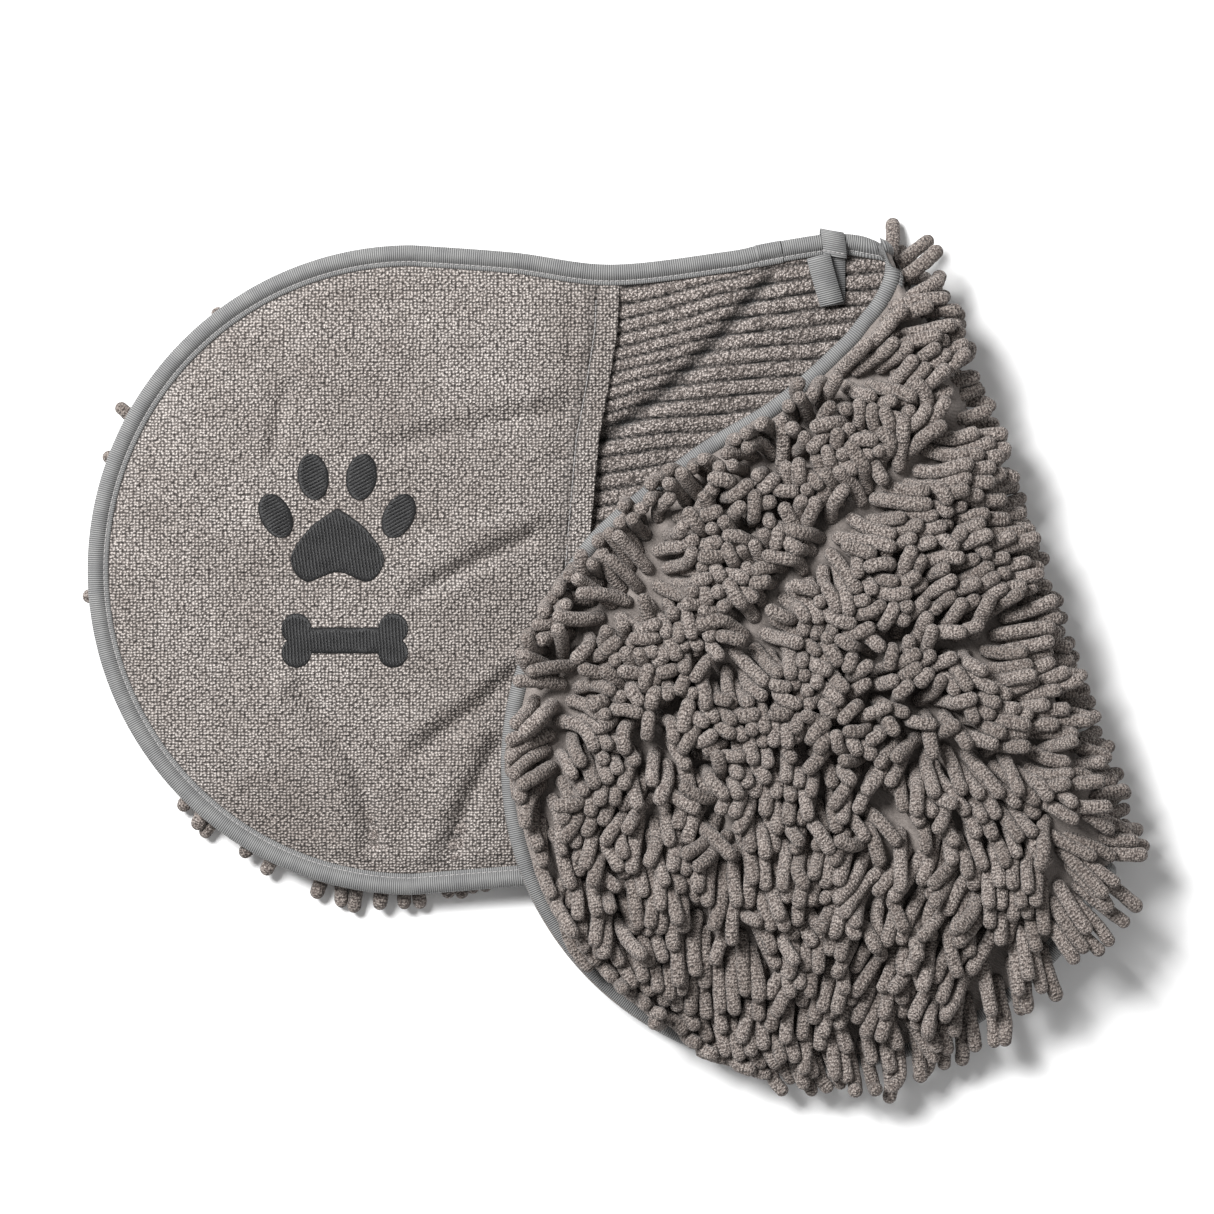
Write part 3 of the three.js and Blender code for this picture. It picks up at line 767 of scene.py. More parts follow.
def pocket(half):
    rows, columns = (90, 110) if half.flipped else (230, 300)
    across = np.linspace(0.012, 0.988, columns)
    mouth = mouth_shares(half, across)
    early = 0.3 * (1 - np.cos(np.linspace(0.05, np.pi / 2, rows // 4)))
    shares = np.concatenate([early, np.linspace(0.3, 1, rows)[1:]])
    plan = half.at(shares[:, None] * mouth, np.broadcast_to(across, (len(shares), columns)))
    flat = half.raised(pocket_level(half, plan), plan)
    lip = [flat[-1] + forward * np.append(half.axis, 0) + drop * half.up for forward, drop in HEM_LIP]
    points = np.concatenate([flat, np.array(lip)])
    back = half.before_mouth(points[..., :2])
    # Painted shade in the hem's stitch groove and at the foot of the hem's step.
    tone = 1 - 0.75 * bell(back - HEM_SEAM, 1.3) - 0.45 * bell(back - 15.2, 1.8)
    piece = grid_piece(f"pocket_terry_{half.name}", points, TERRY, flip=not half.flipped, tone=tone)
    return finish(piece, half.body, "terry", f"pocket_{half.name}", f"pocket_hem_{half.name}")


def stitches(name, path, normal, length, gap, radius, body, *replaced):
    """Short threads laid along a path in space, each a little arched."""
    total = travel_along(path)[-1]
    starts = np.arange(0, total - length, length + gap)
    shares = np.array([0, 0.3, 0.7, 1])
    s = starts[:, None] + shares * length
    nodes = at_travel(path, s)
    up = np.stack([np.interp(s, travel_along(path), normal[:, k]) for k in range(3)], -1)
    nodes = nodes + up * (np.array([-0.35, 0.25, 0.25, -0.35]) * radius * 2)[None, :, None]
    return finish(make_mesh(name, THREAD, *strands(nodes, radius, 6, 5)), body, "thread", *replaced)


def hem_stitches(half):
    across = np.linspace(0.05, 0.95, 200)
    mouth = mouth_shares(half, across)
    line = half.at(mouth, across) - HEM_SEAM * half.axis
    path = half.raised(pocket_level(half, line) + 0.35, line)
    up = np.tile(half.up, (len(path), 1))
    name = f"hem_threads_{half.name}"
    return stitches(name, path, up, 2.3, 0.9, 0.32, half.body, f"hem_stitching_{half.name}")


# ---- Binding tape ----

TAPE_CREST = [
    (11.2, 0.0), (11.0, 0.6), (9.6, 1.2), (8.8, 0.9), (8.1, 1.7),
    (6.8, 3.2), (4.6, 3.9), (2.2, 3.4), (0.3, 1.8),
]
TAPE_OUTSIDE = [*TAPE_CREST, (-0.3, 0), *[(x, -n) for x, n in TAPE_CREST[:0:-1]], (11.2, -0.05)]
TAPE_INSIDE = [(8.2, -0.4), (4, -2.0), (1.2, -1.5), (0.5, 0), (1.2, 1.5), (4, 2.0), (8.2, 0.4)]
SEAM_IN, SEAM_RISE = 8.8, 1.05  # where the tape's stitches lie in its section


def edge_frames(half, start=0.0, end=None, spacing=2.5):
    """The half's edge as a path in space with the ways in and towards the lining side, fold ends included."""
    end = half.edge_length if end is None else end
    count = int((end - start) / spacing) + 2
    s = np.linspace(start, end, count)
    line = at_travel(half.rim, s)
    way = np.gradient(line, axis=0)
    square = unit(np.stack([way[:, 1], -way[:, 0]], 1))
    at_top = s > half.edge_length / 2
    side = np.where(at_top, 1.0, -1.0)[:, None] * FOLD_WAY
    turning = np.where(at_top, 3.0 if half.flipped else 10.0, 40.0)
    inward = unit(side + (square - side) * ease(inside_fold(line) / turning, 0, 1)[:, None])
    path = half.raised(BINDING_LEVEL, line)
    inward = np.concatenate([inward, np.zeros((count, 1))], 1)
    return path, inward, np.tile(half.up, (count, 1))


FOLD_FRAMES = 10
CORNER_DROP = 3.0  # how far down the fold the tape's corner is rounded off
FOLD_ROUND = 6.0


def fold_frames(half, at_top):
    """The edge's path round the fold, from the fold line to the fold's middle."""
    turns = np.linspace(0, 90, FOLD_FRAMES + 1)[1:]
    corner_point = FOLD_TOP if at_top else FOLD_END
    plan = np.tile(corner_point, (len(turns), 1))
    path = round_fold(half, plan, np.full(len(turns), BINDING_LEVEL), turns)
    a = np.radians(turns)[:, None]
    if at_top:
        path[:, :2] += CORNER_DROP * np.sin(a) * FOLD_WAY
    normal = unit(half.up * np.cos(a) - np.append(FOLD_OUT, 0) * np.sin(a))
    inward = np.tile(np.append(FOLD_WAY * (1 if at_top else -1), 0), (len(turns), 1))
    return path, inward, normal


def over_fold(points):
    """Bends the part of the upper half's tape that passes the fold line down round the fold."""
    out = np.maximum(-inside_fold(points[..., :2]), 0)
    angle = np.minimum(out / FOLD_ROUND, 1.4)
    across = FOLD_ROUND * np.sin(angle) - out
    moved = points.copy()
    moved[..., :2] += FOLD_OUT * across[..., None]
    moved[..., 2] -= FOLD_ROUND * (1 - np.cos(angle))
    return moved


def whole_edge(half):
    end, flat, top = fold_frames(half, False), edge_frames(half), fold_frames(half, True)
    return tuple(np.concatenate([e[::-1], f, t]) for e, f, t in zip(end, flat, top))


def binding(half):
    path, inward, normal = whole_edge(half)
    puckers = 0.12 * noise(path[:, :2], 7, 21)
    path = path + normal * puckers[:, None]
    flat = slice(FOLD_FRAMES, -FOLD_FRAMES)
    bent = flat if half.flipped else None
    section = TAPE_OUTSIDE + TAPE_INSIDE
    piece = sweep_piece(f"binding_tape_{half.name}", path, inward, normal, section, TAPE, bent)
    bend_at_fold(piece, half)
    finish(piece, None, "binding", *half.nodes("binding_", "fold_top", "fold_end"))
    seams = []
    for side, sign in (("lining_side", 1), ("pile_side", -1)):
        line = (path + SEAM_IN * inward + sign * SEAM_RISE * normal)[flat]
        line = over_fold(line) if half.flipped else line
        name = f"binding_threads_{half.name}_{side}"
        replaced = [f"binding_stitching_{half.name}"] * (sign > 0)
        seams.append(stitches(name, line, sign * normal[flat], 2.1, 0.8, 0.3, half.body, *replaced))
    return piece, seams


def binding_join():
    """The binding's far end, turned under and laid over its near end."""
    end = lower.edge_length - JOIN_ALONG
    path, inward, normal = edge_frames(lower, end - 7, end + 7, 1.5)
    section = [(x + (0.5 if x > 10 else -0.3), n * 1.16) for x, n in TAPE_OUTSIDE]
    section += [(x, n * 1.16) for x, n in TAPE_INSIDE]
    piece = sweep_piece("binding_overlap", path, inward, normal, section, TAPE)
    return finish(piece, "lower_half", "binding", "binding_join")


# ---- Hanging loop ----

LOOP_WIDTH = 12.6
LOOP_THICK = 0.9


def tape_ribbon(name, path, across, body, replaced):
    """A flat tape whose middle follows a path, with the way across it given at each point."""
    way = unit(np.gradient(path, axis=0))
    face = unit(np.cross(way, across))
    w, t = LOOP_WIDTH / 2, LOOP_THICK / 2
    section = [(w, -t), (w + 0.15, 0), (w, t), (0, t + 0.1), (-w, t), (-w - 0.15, 0), (-w, -t), (0, -t + 0.1)]
    return finish(sweep_piece(name, path, across, face, section, TAPE), body, "binding", replaced)


def hanging_loop():
    end = lower.edge_length - LOOP_ALONG
    path, inward, _ = edge_frames(lower, end - 1, end + 1, 1)
    edge, way_in = path[1], inward[1]
    along = np.cross([0, 0, 1.0], way_in)
    along *= np.sign(along[0])

    def at(depth, sideways, z):
        p = edge + depth * way_in + sideways * along
        return [p[0], p[1], z]

    # Down the upper leg, which lies askew, round the far end, and back along the lower leg.
    line = curve_through([at(*knot) for knot in (
        (12.4, -8.0, 24.4), (13.2, -7.8, 26.4), (20, -6.4, 27.0), (28, -4.4, 26.8), (34, -2.8, 26.2),
        (37.6, -1.8, 25.2), (38.4, -1.4, 23.8), (37.2, -1.0, 22.4), (34, -0.6, 21.6), (28, -0.3, 21.4),
        (20, 0.0, 21.6), (13.2, 0.3, 22.2), (12.4, 0.3, 23.4),
    )], 70)
    slope = np.interp(np.linspace(0, 1, len(line)), [0, 0.42, 0.52, 1], [0.22, 0.2, 0.05, 0.0])
    across = unit(along - slope[:, None] * way_in)
    loop = tape_ribbon("loop_tape", line, across, "loop", "hanging_loop")
    # The anchor goes over the binding, round the edge and back under it.
    line = curve_through([at(*knot) for knot in (
        (12.6, 1.0, 24.9), (9, 1.0, 25.1), (5, 0.8, 25.0), (1.2, 0.4, 24.0), (-1.3, 0.2, 21.4),
        (-1.6, 0, 19.0), (-1.2, 0, 16.6), (1.2, 0, 14.6), (5, 0, 14.2), (10, 0, 14.3),
    )], 60)
    tilted = np.tile(unit(along + 0.22 * way_in), (len(line), 1))
    anchor = tape_ribbon("loop_anchor_tape", line, tilted, "lower_half", "loop_anchor")
    row = np.array([at(10.2 + 0.22 * x, x, 25.55) for x in np.linspace(-5.4, 7.2, 24)])
    up = np.tile(lower.up, (len(row), 1))
    threads = stitches("loop_anchor_threads", row, up, 1.8, 0.7, 0.3, "lower_half")
    return loop, anchor, threads


# ---- Embroidery ----

THREAD_STEP = 0.46
STITCH_LENGTH = 6.5


def motif_outlines():
    """Closed outlines in plan: a paw print over a bone, as the CAD patches have them."""
    paw = np.array([-40.0, 12.0])
    pad = [(0, 21), (-15, 10), (-25, -6), (-17, -18), (0, -13), (17, -18), (25, -6), (15, 10), (0, 21)]
    shapes = {"embroidered_pad": paw + curve_through(pad, 80)[:-1]}
    turns = np.linspace(0, 2 * np.pi, 40)[:-1]
    toe = np.stack([8 * np.cos(turns), 12.5 * np.sin(turns)], 1)
    for index, (x, y, turn) in enumerate([(-33, 17, 26), (-13, 38, 8), (13, 38, -8), (33, 17, -26)]):
        shapes[f"embroidered_toe_{index + 1}"] = paw + (x, y) + toe @ turning(turn)
    ends = [((26, -6.4), -178, 52), ((26, 6.4), -52, 178), ((-26, 6.4), 2, 232), ((-26, -6.4), 128, 358)]
    shapes["embroidered_bone"] = paw + (4, -50) + np.vstack([arc(c, 8, a, b, 20) for c, a, b in ends])
    return shapes


def satin(name, outline, turn):
    """Rows of short arched threads that fill an outline, in a brick pattern."""
    to_rows = turning(-turn)
    shape = outline @ to_rows
    a, b = shape, np.roll(shape, -1, axis=0)
    nodes = []
    for index, y in enumerate(np.arange(shape[:, 1].min() + 0.2, shape[:, 1].max(), THREAD_STEP)):
        hit = (a[:, 1] > y) != (b[:, 1] > y)
        cuts = np.sort(a[hit, 0] + (y - a[hit, 1]) / (b[hit, 1] - a[hit, 1]) * (b[hit, 0] - a[hit, 0]))
        for left, right in zip(cuts[::2], cuts[1::2]):
            breaks = np.arange(math.floor(left / STITCH_LENGTH), right / STITCH_LENGTH + 1) + (index % 4) / 4
            inner = [x for x in breaks * STITCH_LENGTH if left + 1.5 < x < right - 1.5]
            stops = [left - rng.uniform(0, 0.3), *inner, right + rng.uniform(0, 0.3)]
            for x0, x1 in zip(stops[:-1], stops[1:]):
                shares = np.array([0, 0.15, 0.5, 0.85, 1])
                x = x0 + shares * (x1 - x0)
                lift = np.array([-0.25, 0.3, 0.5, 0.3, -0.25]) + rng.uniform(-0.05, 0.05)
                nodes.append(np.stack([x, np.full(5, y), lift], 1))
    nodes = np.array(nodes)
    plan = nodes[..., :2] @ to_rows.T
    z = lower.height(pocket_level(lower, plan), plan) + nodes[..., 2] + 0.25
    threads = strands(np.concatenate([plan, z[..., None]], -1), 0.27, 5, 5, tips=2)
    piece = make_mesh(f"satin_{name.removeprefix('embroidered_')}", BLACK_THREAD, *threads)
    return finish(piece, "lower_half", "embroidery", name)


def embroidery():
    turns = {"embroidered_pad": 82, "embroidered_bone": 78}
    return [satin(name, outline, turns.get(name, 12)) for name, outline in motif_outlines().items()]


# ---- Chenille strands ----

STRAND_RADIUS = 3.8
STRAND_WIDTH = 2 * STRAND_RADIUS
ROOT_RISE = 2.6  # a strand's first knot stands off its cloth by this much
KNOTS = 6
SETTLE_STEPS = 110
UPPER_PITCH = 10.2
LOWER_PITCH = 11.6


class Field:
    """A height over the plan, kept on a grid so that it can be read quickly."""

    def __init__(self, height, low=(-230, -330), high=(440, 230), step=2.0):
        self.low, self.step = np.array(low, float), step
        x, y = (np.arange(a, b, step) for a, b in zip(low, high))
        self.values = height(np.stack(np.meshgrid(x, y, indexing="ij"), -1))

    def __call__(self, p):
        u = (p - self.low) / self.step
        u = np.clip(u, 0, np.array(self.values.shape) - 1.001)
        i = u.astype(int)
        t = u - i
        v = self.values
        x, y = i[..., 0], i[..., 1]
        low = v[x, y] * (1 - t[..., 0]) + v[x + 1, y] * t[..., 0]
        high = v[x, y + 1] * (1 - t[..., 0]) + v[x + 1, y + 1] * t[..., 0]
        return low * (1 - t[..., 1]) + high * t[..., 1]


def is_inside(half, p):
    """Whether plan points are inside a half's outline."""
    ring = np.vstack([half.rim[::4], half.rim[-1:]])
    x, y = p[..., 0], p[..., 1]
    inside = np.zeros(p.shape[:-1], bool)
    for (x0, y0), (x1, y1) in zip(ring, np.roll(ring, -1, axis=0)):
        crosses = (y0 > y) != (y1 > y)
        edge_x = x0 + (y - y0) * (x1 - x0) / (y1 - y0 + 1e-12)
        inside ^= crosses & (x < edge_x)
    return inside


def hex_roots(half, pitch, margin):
    """Roots in rows over a half, this far in from its edge."""
    rows = np.arange(-300, 260, pitch * math.sqrt(3) / 2)
    grid = [[x + (k % 2) * pitch / 2, y] for k, y in enumerate(rows) for x in np.arange(-220, 430, pitch)]
    p = np.array(grid) + rng.uniform(-0.16, 0.16, (len(grid), 2)) * pitch
    p = p[is_inside(half, p)]
    return p[(half.seam(p) > margin) & (inside_fold(p) > 3)]


# How far strands lean out over the upper half's rim, at bearings in degrees round the half's centre.
RIM_BEARINGS = [60, 84, 89, 130, 150, 165, 180, 190, 232, 245, 280, 360]
RIM_LEAN = [0.2, 0.4, 1.3, 1.4, 1.5, 1.5, 1.1, 0.8, 0.8, 1.1, 1.3, 1.3]
RIM_WALL = [14, 14, 8.5, 7, 0, 0, 10, 11.5, 11.5, 3, -10, -16]  # how far inside the rim they stay there


def upper_bearing(p):
    x, y = (p - UPPER_CENTRE).T
    return np.degrees(np.arctan2(y, x)) % 360


def upper_lean(p):
    """How far and which way the upper half's strands lean, as a plan vector per unit of height."""
    seam, off = nearest_on(upper.rim[::3], p)
    over_rim = np.interp(upper_bearing(p), RIM_BEARINGS, RIM_LEAN)
    lean = -unit(off) * (over_rim * bell(seam, 26))[..., None]
    # They hang towards -Y below the middle, towards +X at the right, and a little towards +Y at the top.
    down = 0.35 + 2.1 * ease(-p[..., 1], 60, 180)
    lean[..., 1] -= down * ease(-p[..., 1], 10, 110)
    lean[..., 0] += 0.9 * ease(p[..., 0] - 0.45 * (60 - p[..., 1]), 190, 290)
    lean[..., 1] += 0.3 * ease(p[..., 1], 20, 130)
    lean += FOLD_OUT * (1.3 * bell(inside_fold(p), 34))[..., None]
    for points, _, width in RIDGES:
        distance, off = nearest_on(curve_through(points, 14), p)
        lean += unit(off) * (1.5 * ease(seam, 14, 40) * bell(distance, width + 7))[..., None]
    clumps = np.stack([noise(p, 24, 31), noise(p, 24, 32)], -1)
    wild = 1 + 0.9 * ease(-p[..., 1:], 60, 180)
    return lean + wild * (0.75 * clumps + rng.normal(0, 0.38, p.shape))


# Strands that show past the lower half's edge: their bearings in degrees, and how far they reach past it.
PEEKS = [
    (82.8, 4), (127, 5), (152, 10), (159, 5), (184.5, 5), (225.5, 7), (228.5, 9), (231.5, 10),
    (238.5, 7), (244.5, 9), (253, 11), (256.5, 13), (260, 14), (264.5, 10), (268, 9), (271, 9),
    (275, 8), (278, 9), (281, 7), (284, 8), (288, 7),
]
PEEK_LENGTH = 18.0


def lower_lean(p):
    """The lower half's strands lie squashed every way, and mostly inward beside the edge."""
    seam, off = nearest_on(lower.rim[::3], p)
    turn = rng.uniform(0, 2 * np.pi, len(p))
    lean = 2.2 * np.stack([np.cos(turn), np.sin(turn)], 1)
    lean += 2.2 * unit(off) * bell(seam, 22)[:, None]
    lean -= FOLD_OUT * (2.0 * bell(inside_fold(p), 20))[:, None]
    return lean


def first_knots(roots, ways, lengths):
    steps = np.linspace(0, 1, KNOTS)[None, :, None] * lengths[:, None, None]
    return roots[:, None] + ways[:, None] * steps


def upper_strands():
    p = hex_roots(upper, UPPER_PITCH, 9.5)
    overhang = ease(-p[:, 1], 90, 180)
    p = p[rng.uniform(0, 1, len(p)) > 0.22 * overhang]
    z = upper.height(backing_level(upper, p), p) + ROOT_RISE
    ways = unit(np.concatenate([upper_lean(p), np.ones((len(p), 1))], 1))
    lengths = rng.uniform(21, 30, len(p)) + 3.5 * ease(-p[:, 1], 90, 180)
    return first_knots(np.column_stack([p, z]), ways, lengths)


def lower_strands():
    p = hex_roots(lower, LOWER_PITCH, 16)
    ways = unit(np.concatenate([lower_lean(p), -np.ones((len(p), 1))], 1))
    z = np.full(len(p), BACKING_LEVEL - LINING_ROOM - ROOT_RISE)
    return first_knots(np.column_stack([p, z]), ways, rng.uniform(18, 22, len(p)))


def peeking_strands():
    """Strands of the lower half that reach out past its edge."""
    bearings, reach = np.array(PEEKS, float).T
    a = np.radians(bearings)
    out = np.stack([np.cos(a), np.sin(a)], 1)
    rim = np.where((bearings > 272) | (bearings < 90), 171.5, 175.0)
    from_middle = rim + reach - STRAND_RADIUS - PEEK_LENGTH
    roots = np.column_stack([out * from_middle[:, None], rng.uniform(6, 10, len(a))])
    ways = unit(np.column_stack([out + rng.uniform(-0.2, 0.2, out.shape), rng.uniform(-0.1, 0.1, len(a))]))
    return first_knots(roots, ways, np.full(len(a), PEEK_LENGTH))


FOLD_ROWS = [(25, 9), (62, 14), (98, 24), (135, 34)]  # degrees round the fold, and how far from its top
FOLD_OUT_RADIUS = FOLD_BULGE + LINING_LEVEL - BACKING_LEVEL
FOLD_HALF_HEIGHT = FOLD_MIDDLE - BACKING_LEVEL


def fold_strands():
    """Strands in rows round the fold, with the row that each is in. At its ends they fan out."""
    roots, ways, rows = [], [], []
    for row, (turn, first) in enumerate(FOLD_ROWS):
        a = math.radians(turn)
        for s in np.arange(first, FOLD_LENGTH - 12, 10.2):
            s += rng.uniform(-1.5, 1.5)
            plan = FOLD_TOP + FOLD_WAY * s + FOLD_OUT * FOLD_OUT_RADIUS * math.sin(a)
            roots.append([*plan, FOLD_MIDDLE - FOLD_HALF_HEIGHT * math.cos(a)])
            fan = 1.4 * math.exp(-s / 25) - 0.25
            out = FOLD_OUT * (math.sin(a) + 0.25) - FOLD_WAY * (fan + rng.normal(0, 0.35))
            ways.append([*out, -0.8 * math.cos(a) + rng.normal(0, 0.25)])
            rows.append(row)
    return first_knots(np.array(roots), unit(np.array(ways)), rng.uniform(17, 22, len(roots))), np.array(rows)


def near_pairs(x, reach):
    """Pairs of points closer than reach."""
    cell = np.floor(x / reach).astype(np.int64)
    cell -= cell.min(0) - 1
    size = cell.max(0) + 2
    strides = np.array([size[1] * size[2], size[2], 1])
    key = cell @ strides
    order = np.argsort(key, kind="stable")
    ordered = key[order]
    offsets = [(a, b, c) for a in (0, 1) for b in (-1, 0, 1) for c in (-1, 0, 1) if (a, b, c) >= (0, 0, 0)]
    first, second = [], []
    for offset in offsets:
        target = key + np.array(offset) @ strides
        start, end = np.searchsorted(ordered, target, "left"), np.searchsorted(ordered, target, "right")
        for k in range(int((end - start).max())):
            i = np.nonzero(start + k < end)[0]
            j = order[start[i] + k]
            if offset == (0, 0, 0):
                i, j = i[i < j], j[i < j]
            first.append(i)
            second.append(j)
    i, j = np.concatenate(first), np.concatenate(second)
    close = np.sum((x[i] - x[j]) ** 2, 1) < reach**2
    return i[close], j[close]


class Room:
    """What strands may not pass: the cloth under the upper ones, and their half's edge."""

    def __init__(self):
        self.ground = Field(lambda p: np.where(
            is_inside(upper, p) & (upper.seam(p) > BINDING_WIDTH),
            upper.height(backing_level(upper, p), p),
            np.where(is_inside(upper, p), upper.height(BINDING_LEVEL - 3.4, p),
                     np.where(is_inside(lower, p), LINING_LEVEL + 3, 0)),
        ))
        self.depths = [Field(lambda p, half=half: self.depth(half, p)) for half in HALVES]

    @staticmethod
    def depth(half, p):
        outside = ~is_inside(half, p) & (inside_fold(p) > 0)
        return np.where(outside, -half.seam(p), half.seam(p))

    def keep_inside(self, x, kinds, walls):
        """Moves points back inside their half's edge by as much as they pass their wall."""
        for kind, depth in enumerate(self.depths):
            mine = np.nonzero(kinds == kind)[0]
            p = x[mine, :2]
            short = walls[mine] - depth(p)
            past = short > 0
            mine, p, short = mine[past], p[past], short[past]
            step = np.array([2.0, 0]), np.array([0, 2.0])
            way = unit(np.stack([depth(p + d) - depth(p - d) for d in step], 1))
            x[mine, :2] += 0.6 * short[:, None] * way


STRANDS_TOP = 67.0
FOLD_REACH = 27.0


def keep_off(x, kinds, upper_ground):
    """Keeps strands off the cloth that they hang on and off the table. Kinds: 0 lower, 1 upper, 2 fold."""
    r = 1.15 * STRAND_RADIUS
    low = kinds == 0
    x[low, 2] = np.clip(x[low, 2], r, BACKING_LEVEL - LINING_ROOM - ROOT_RISE)
    out = -inside_fold(x[:, :2])
    on_top = (kinds == 1) | ((kinds == 2) & (out <= 0) & (x[:, 2] > FOLD_MIDDLE))
    ground = upper_ground(x[on_top, :2]) + r
    x[on_top, 2] = np.maximum(x[on_top, 2], ground)
    around = (kinds > 0) & (out > 0)
    rise = x[around, 2] - FOLD_MIDDLE
    wide, tall = FOLD_OUT_RADIUS + r, FOLD_HALF_HEIGHT + r
    size = np.sqrt((out[around] / wide) ** 2 + (rise / tall) ** 2)
    grow = np.maximum(1 / np.maximum(size, 0.2), 1) - 1
    x[around, :2] += FOLD_OUT * (out[around] * grow)[:, None]
    x[around, 2] += rise * grow
    under = (kinds == 2) & (out <= 0) & (x[:, 2] <= FOLD_MIDDLE)
    x[under, 2] = np.minimum(x[under, 2], BACKING_LEVEL - LINING_ROOM - ROOT_RISE)
    x[:, :2] -= FOLD_OUT * np.maximum(out - FOLD_REACH, 0)[:, None]
    x[:, 2] = np.clip(x[:, 2], r, STRANDS_TOP)


def settle(knots, kind, wall):
    """Lets the strands push each other apart, bend and sink until they lie beside each other."""
    count = len(knots)
    x = knots.reshape(-1, 3).copy()
    rest = np.linalg.norm(knots[:, 1] - knots[:, 0], axis=1)
    owner = np.repeat(np.arange(count), KNOTS)
    order = np.tile(np.arange(KNOTS), count)
    kinds, walls = np.repeat(kind, KNOTS), np.repeat(wall, KNOTS)
    start = knots.copy()
    room = Room()
    curl = rng.normal(0, 0.22, (count, 1, 3))
    for step in range(SETTLE_STEPS):
        if step % 5 == 0:
            i, j = near_pairs(x, STRAND_WIDTH + 1.6)
            apart = (owner[i] != owner[j]) | (np.abs(order[i] - order[j]) > 2)
            free = apart & ((order[i] > 0) | (order[j] > 0))
            i, j = i[free], j[free]
        off = x[i] - x[j]
        distance = np.maximum(np.linalg.norm(off, axis=1), 1e-6)
        push = np.maximum(STRAND_WIDTH - distance, 0)
        hit = push > 0
        move = off[hit] * (0.22 * push[hit] / distance[hit])[:, None]
        for axis in range(3):
            pushed, pulled = (np.bincount(k[hit], move[:, axis], len(x)) for k in (i, j))
            x[:, axis] += pushed - pulled
        x[:, 2] -= np.where(kinds == 0, 0.0, 0.07) * order / KNOTS
        k = x.reshape(count, KNOTS, 3)
        straight = 2 * k[:, 1:-1] - k[:, :-2] - k[:, 2:] - curl
        k[:, 2:] += 0.10 * straight
        k[:, 1:-1] -= 0.10 * straight
        k[:, 1] += 0.25 * (start[:, 1] - k[:, 1])
        k[:, 2] += 0.08 * (start[:, 2] - k[:, 2])
        room.keep_inside(x, kinds, walls)
        keep_off(x, kinds, room.ground)
        k[:, 0] = start[:, 0]
        for _ in range(2):
            for a in range(KNOTS - 1):
                run = k[:, a + 1] - k[:, a]
                length = np.linalg.norm(run, axis=1)
                fix = run * ((length - rest) / length)[:, None]
                share = 0.0 if a == 0 else 0.5
                k[:, a] += share * fix
                k[:, a + 1] -= (1 - share) * fix
    keep_off(x, kinds, room.ground)
    k = x.reshape(count, KNOTS, 3)
    k[:, 0] = start[:, 0]
    return k


def strand_piece(name, nodes, sides, rings, seed, body, *replaced):
    random = np.random.default_rng(seed)
    radius = STRAND_RADIUS * random.uniform(0.94, 1.06, len(nodes))
    points, quads, tris = strands(nodes, radius, sides, rings, fuzz=0.045, tips=4, seed=seed)
    each = len(points) // len(nodes)
    lengths = np.sum(np.linalg.norm(np.diff(nodes, axis=1), axis=2), axis=1) + 2 * radius
    share = np.arange(each) // sides / (each // sides)
    along = lengths[:, None] * share / 1000
    tone = np.repeat(random.uniform(0, 1, (len(nodes), 1)), each, axis=1)
    uv = np.stack([along, tone], -1).reshape(-1, 2)
    piece = make_mesh(name, CHENILLE, points, quads, tris, uv)
    return finish(piece, body, "chenille", *replaced)


def chenille():
    """All strands, settled together, as lists of pieces for each half and for the fold."""
    lower_knots, peeking_knots, upper_knots = lower_strands(), peeking_strands(), upper_strands()
    fold_knots, rows = fold_strands()
    groups = (lower_knots, peeking_knots, upper_knots, fold_knots)
    counts = [len(group) for group in groups]
    kind = np.repeat([0, 0, 1, 2], counts)
    upper_wall = np.interp(upper_bearing(upper_knots[:, 0, :2]), RIM_BEARINGS, RIM_WALL)
    upper_wall -= np.where(rng.uniform(0, 1, len(upper_wall)) < 0.12, 6, 0)
    wall = np.repeat([5.0, -20.0, 0.0, -99.0], counts)
    wall[kind == 1] = upper_wall
    settled = settle(np.concatenate(groups), kind, wall)
    pieces = {}
    for code, (name, body, sides, rings, seed) in enumerate([
        ("lower", "lower_half", 10, 9, 40), ("upper", "upper_half", 14, 15, 50),
        ("fold", "fold_strip", 14, 14, 80),
    ]):
        nodes = settled[kind == code]
        # The pieces are bands across a half, or the fold's rows.
        if name == "fold":
            bands, main = [rows == row for row in range(len(FOLD_ROWS))], 1
        else:
            bands, main = np.array_split(np.argsort(nodes[:, 0, 0], kind="stable"), 3 + code), 0
        pieces[name] = [
            strand_piece(f"chenille_{name}_{k + 1}", nodes[band], sides, rings, seed + k, body,
                         *[f"chenille_pile_{name}"] * (k == main))
            for k, band in enumerate(bands)
        ]
    return pieces


# ---- Stage ----

VIEW_POINT = np.array([105.0, -20.0, 22.0])
CAMERA_HEIGHT = 2180.0
FRAME_WIDTH = 654.0


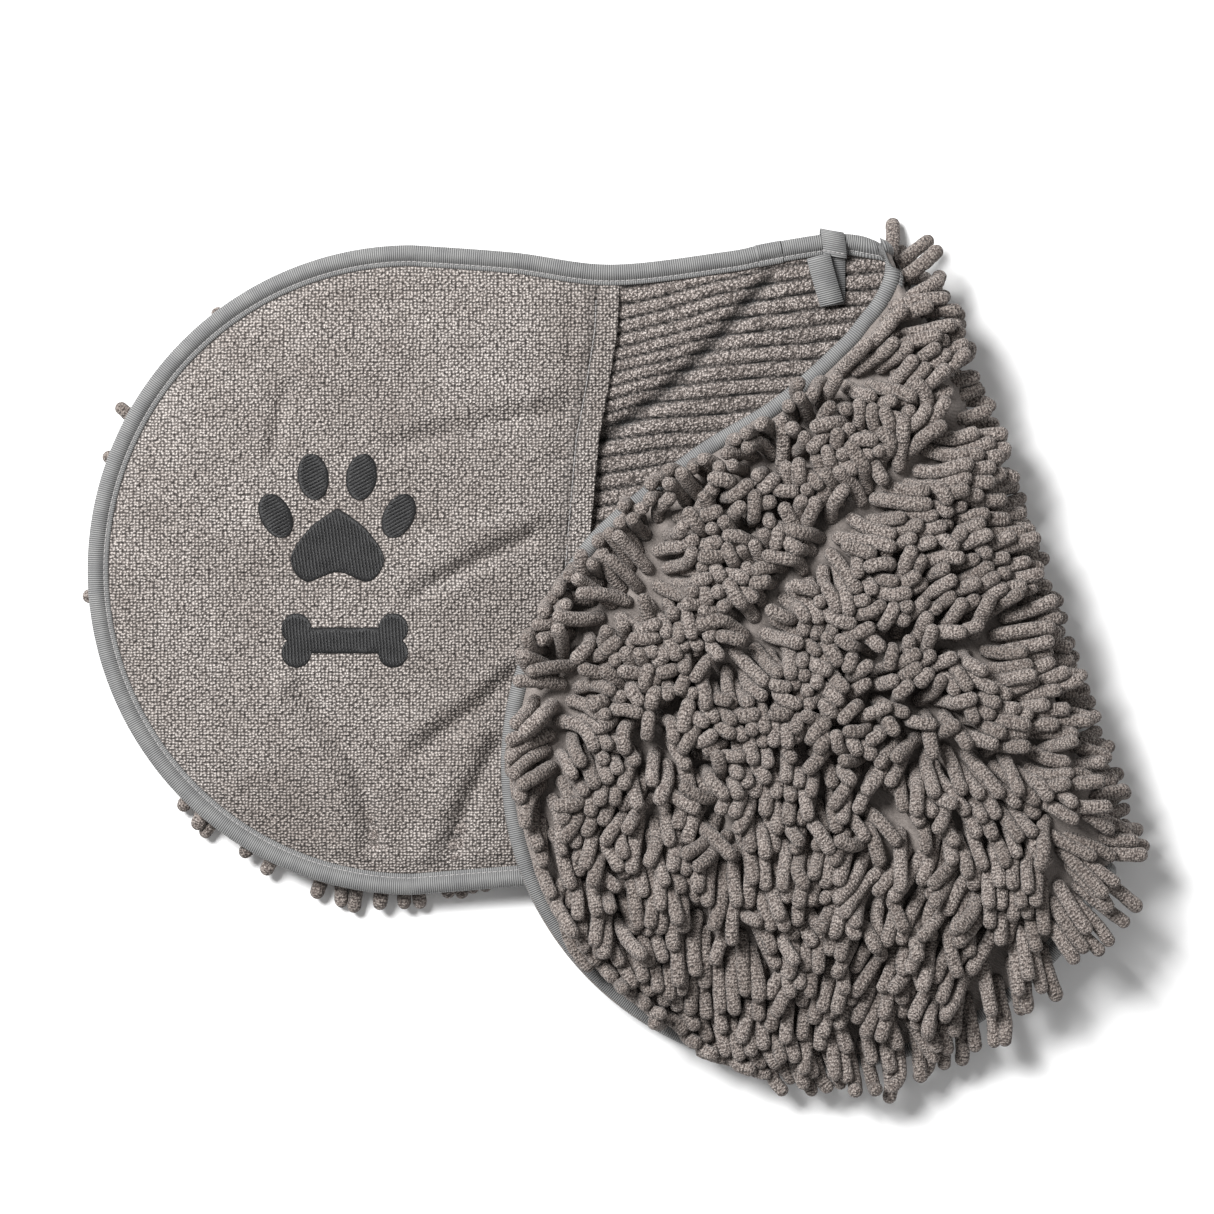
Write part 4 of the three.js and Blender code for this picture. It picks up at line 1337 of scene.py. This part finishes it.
def camera():
    data = bpy.data.cameras.new("camera")
    data.sensor_width = 36
    data.lens = 36 * CAMERA_HEIGHT / FRAME_WIDTH
    data.clip_end = 20
    thing = add_object("camera", data)
    thing.location = to_row(VIEW_POINT) + np.array([0, 0, CAMERA_HEIGHT / 1000])
    bpy.context.scene.camera = thing


def area_light(name, place, size, power):
    data = bpy.data.lights.new(name, "AREA")
    data.size = size
    data.energy = power
    light = add_object(name, data)
    light.location = place
    light.rotation_euler = (Vector((0, 0, 0.03)) - Vector(place)).to_track_quat("-Z", "Y").to_euler()


def stage():
    world = bpy.data.worlds.new("studio")
    world.use_nodes = True
    sky = world.node_tree.nodes["Background"].inputs
    sky["Color"].default_value = (1, 1, 1, 1)
    sky["Strength"].default_value = 0.3
    bpy.context.scene.world = world
    bpy.context.scene.view_settings.view_transform = "Standard"
    area_light("key", (-1.1, 1.0, 2.0), 0.9, 112)
    area_light("fill", (1.6, -1.2, 1.8), 1.6, 4)
    mesh = bpy.data.meshes.new("floor")
    mesh.from_pydata([(-4, -4, 0), (4, -4, 0), (4, 4, 0), (-4, 4, 0)], [], [(0, 1, 2, 3)])
    look = Look("floor")
    look.color(look.ramp(look.noise(300, 1), (0.3, (249, 249, 249)), (0.7, (252, 252, 252))))
    mesh.materials.append(look.material)
    add_object("floor", mesh)


# ---- Assembly ----


def names_of(*several):
    return [piece.name for piece in several]


camera()
stage()
pile = chenille()
linings, backings, pockets, hem_rows, bindings = (
    {half.name: make(half) for half in HALVES} for make in (lining, backing, pocket, hem_stitches, binding)
)
join = binding_join()
loop, anchor, anchor_threads = hanging_loop()
motif = embroidery()

# Flat areas in square metres, of each half with its half of the fold and of its pocket with the hem. They are
# worked out but not used.
FOLD_AREA = 2 * FOLD_BULGE * FOLD_LENGTH / 1e6
for half in HALVES:
    shares = np.linspace(0, 1, 80)
    area = flat_area(half.at(*np.meshgrid(shares, shares, indexing="ij"))) + FOLD_AREA
    tape, seams = bindings[half.name]
    lies_on = names_of(linings["lower"], pockets["lower"]) if half.flipped else []
    names_of(backings[half.name])
    area = pocket_area(half)
    names_of(linings[half.name])
    names_of(linings[half.name])
    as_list(seams)
names_of(bindings["lower"][0])
names_of(linings["lower"])
lies_on = names_of(bindings["lower"][0])
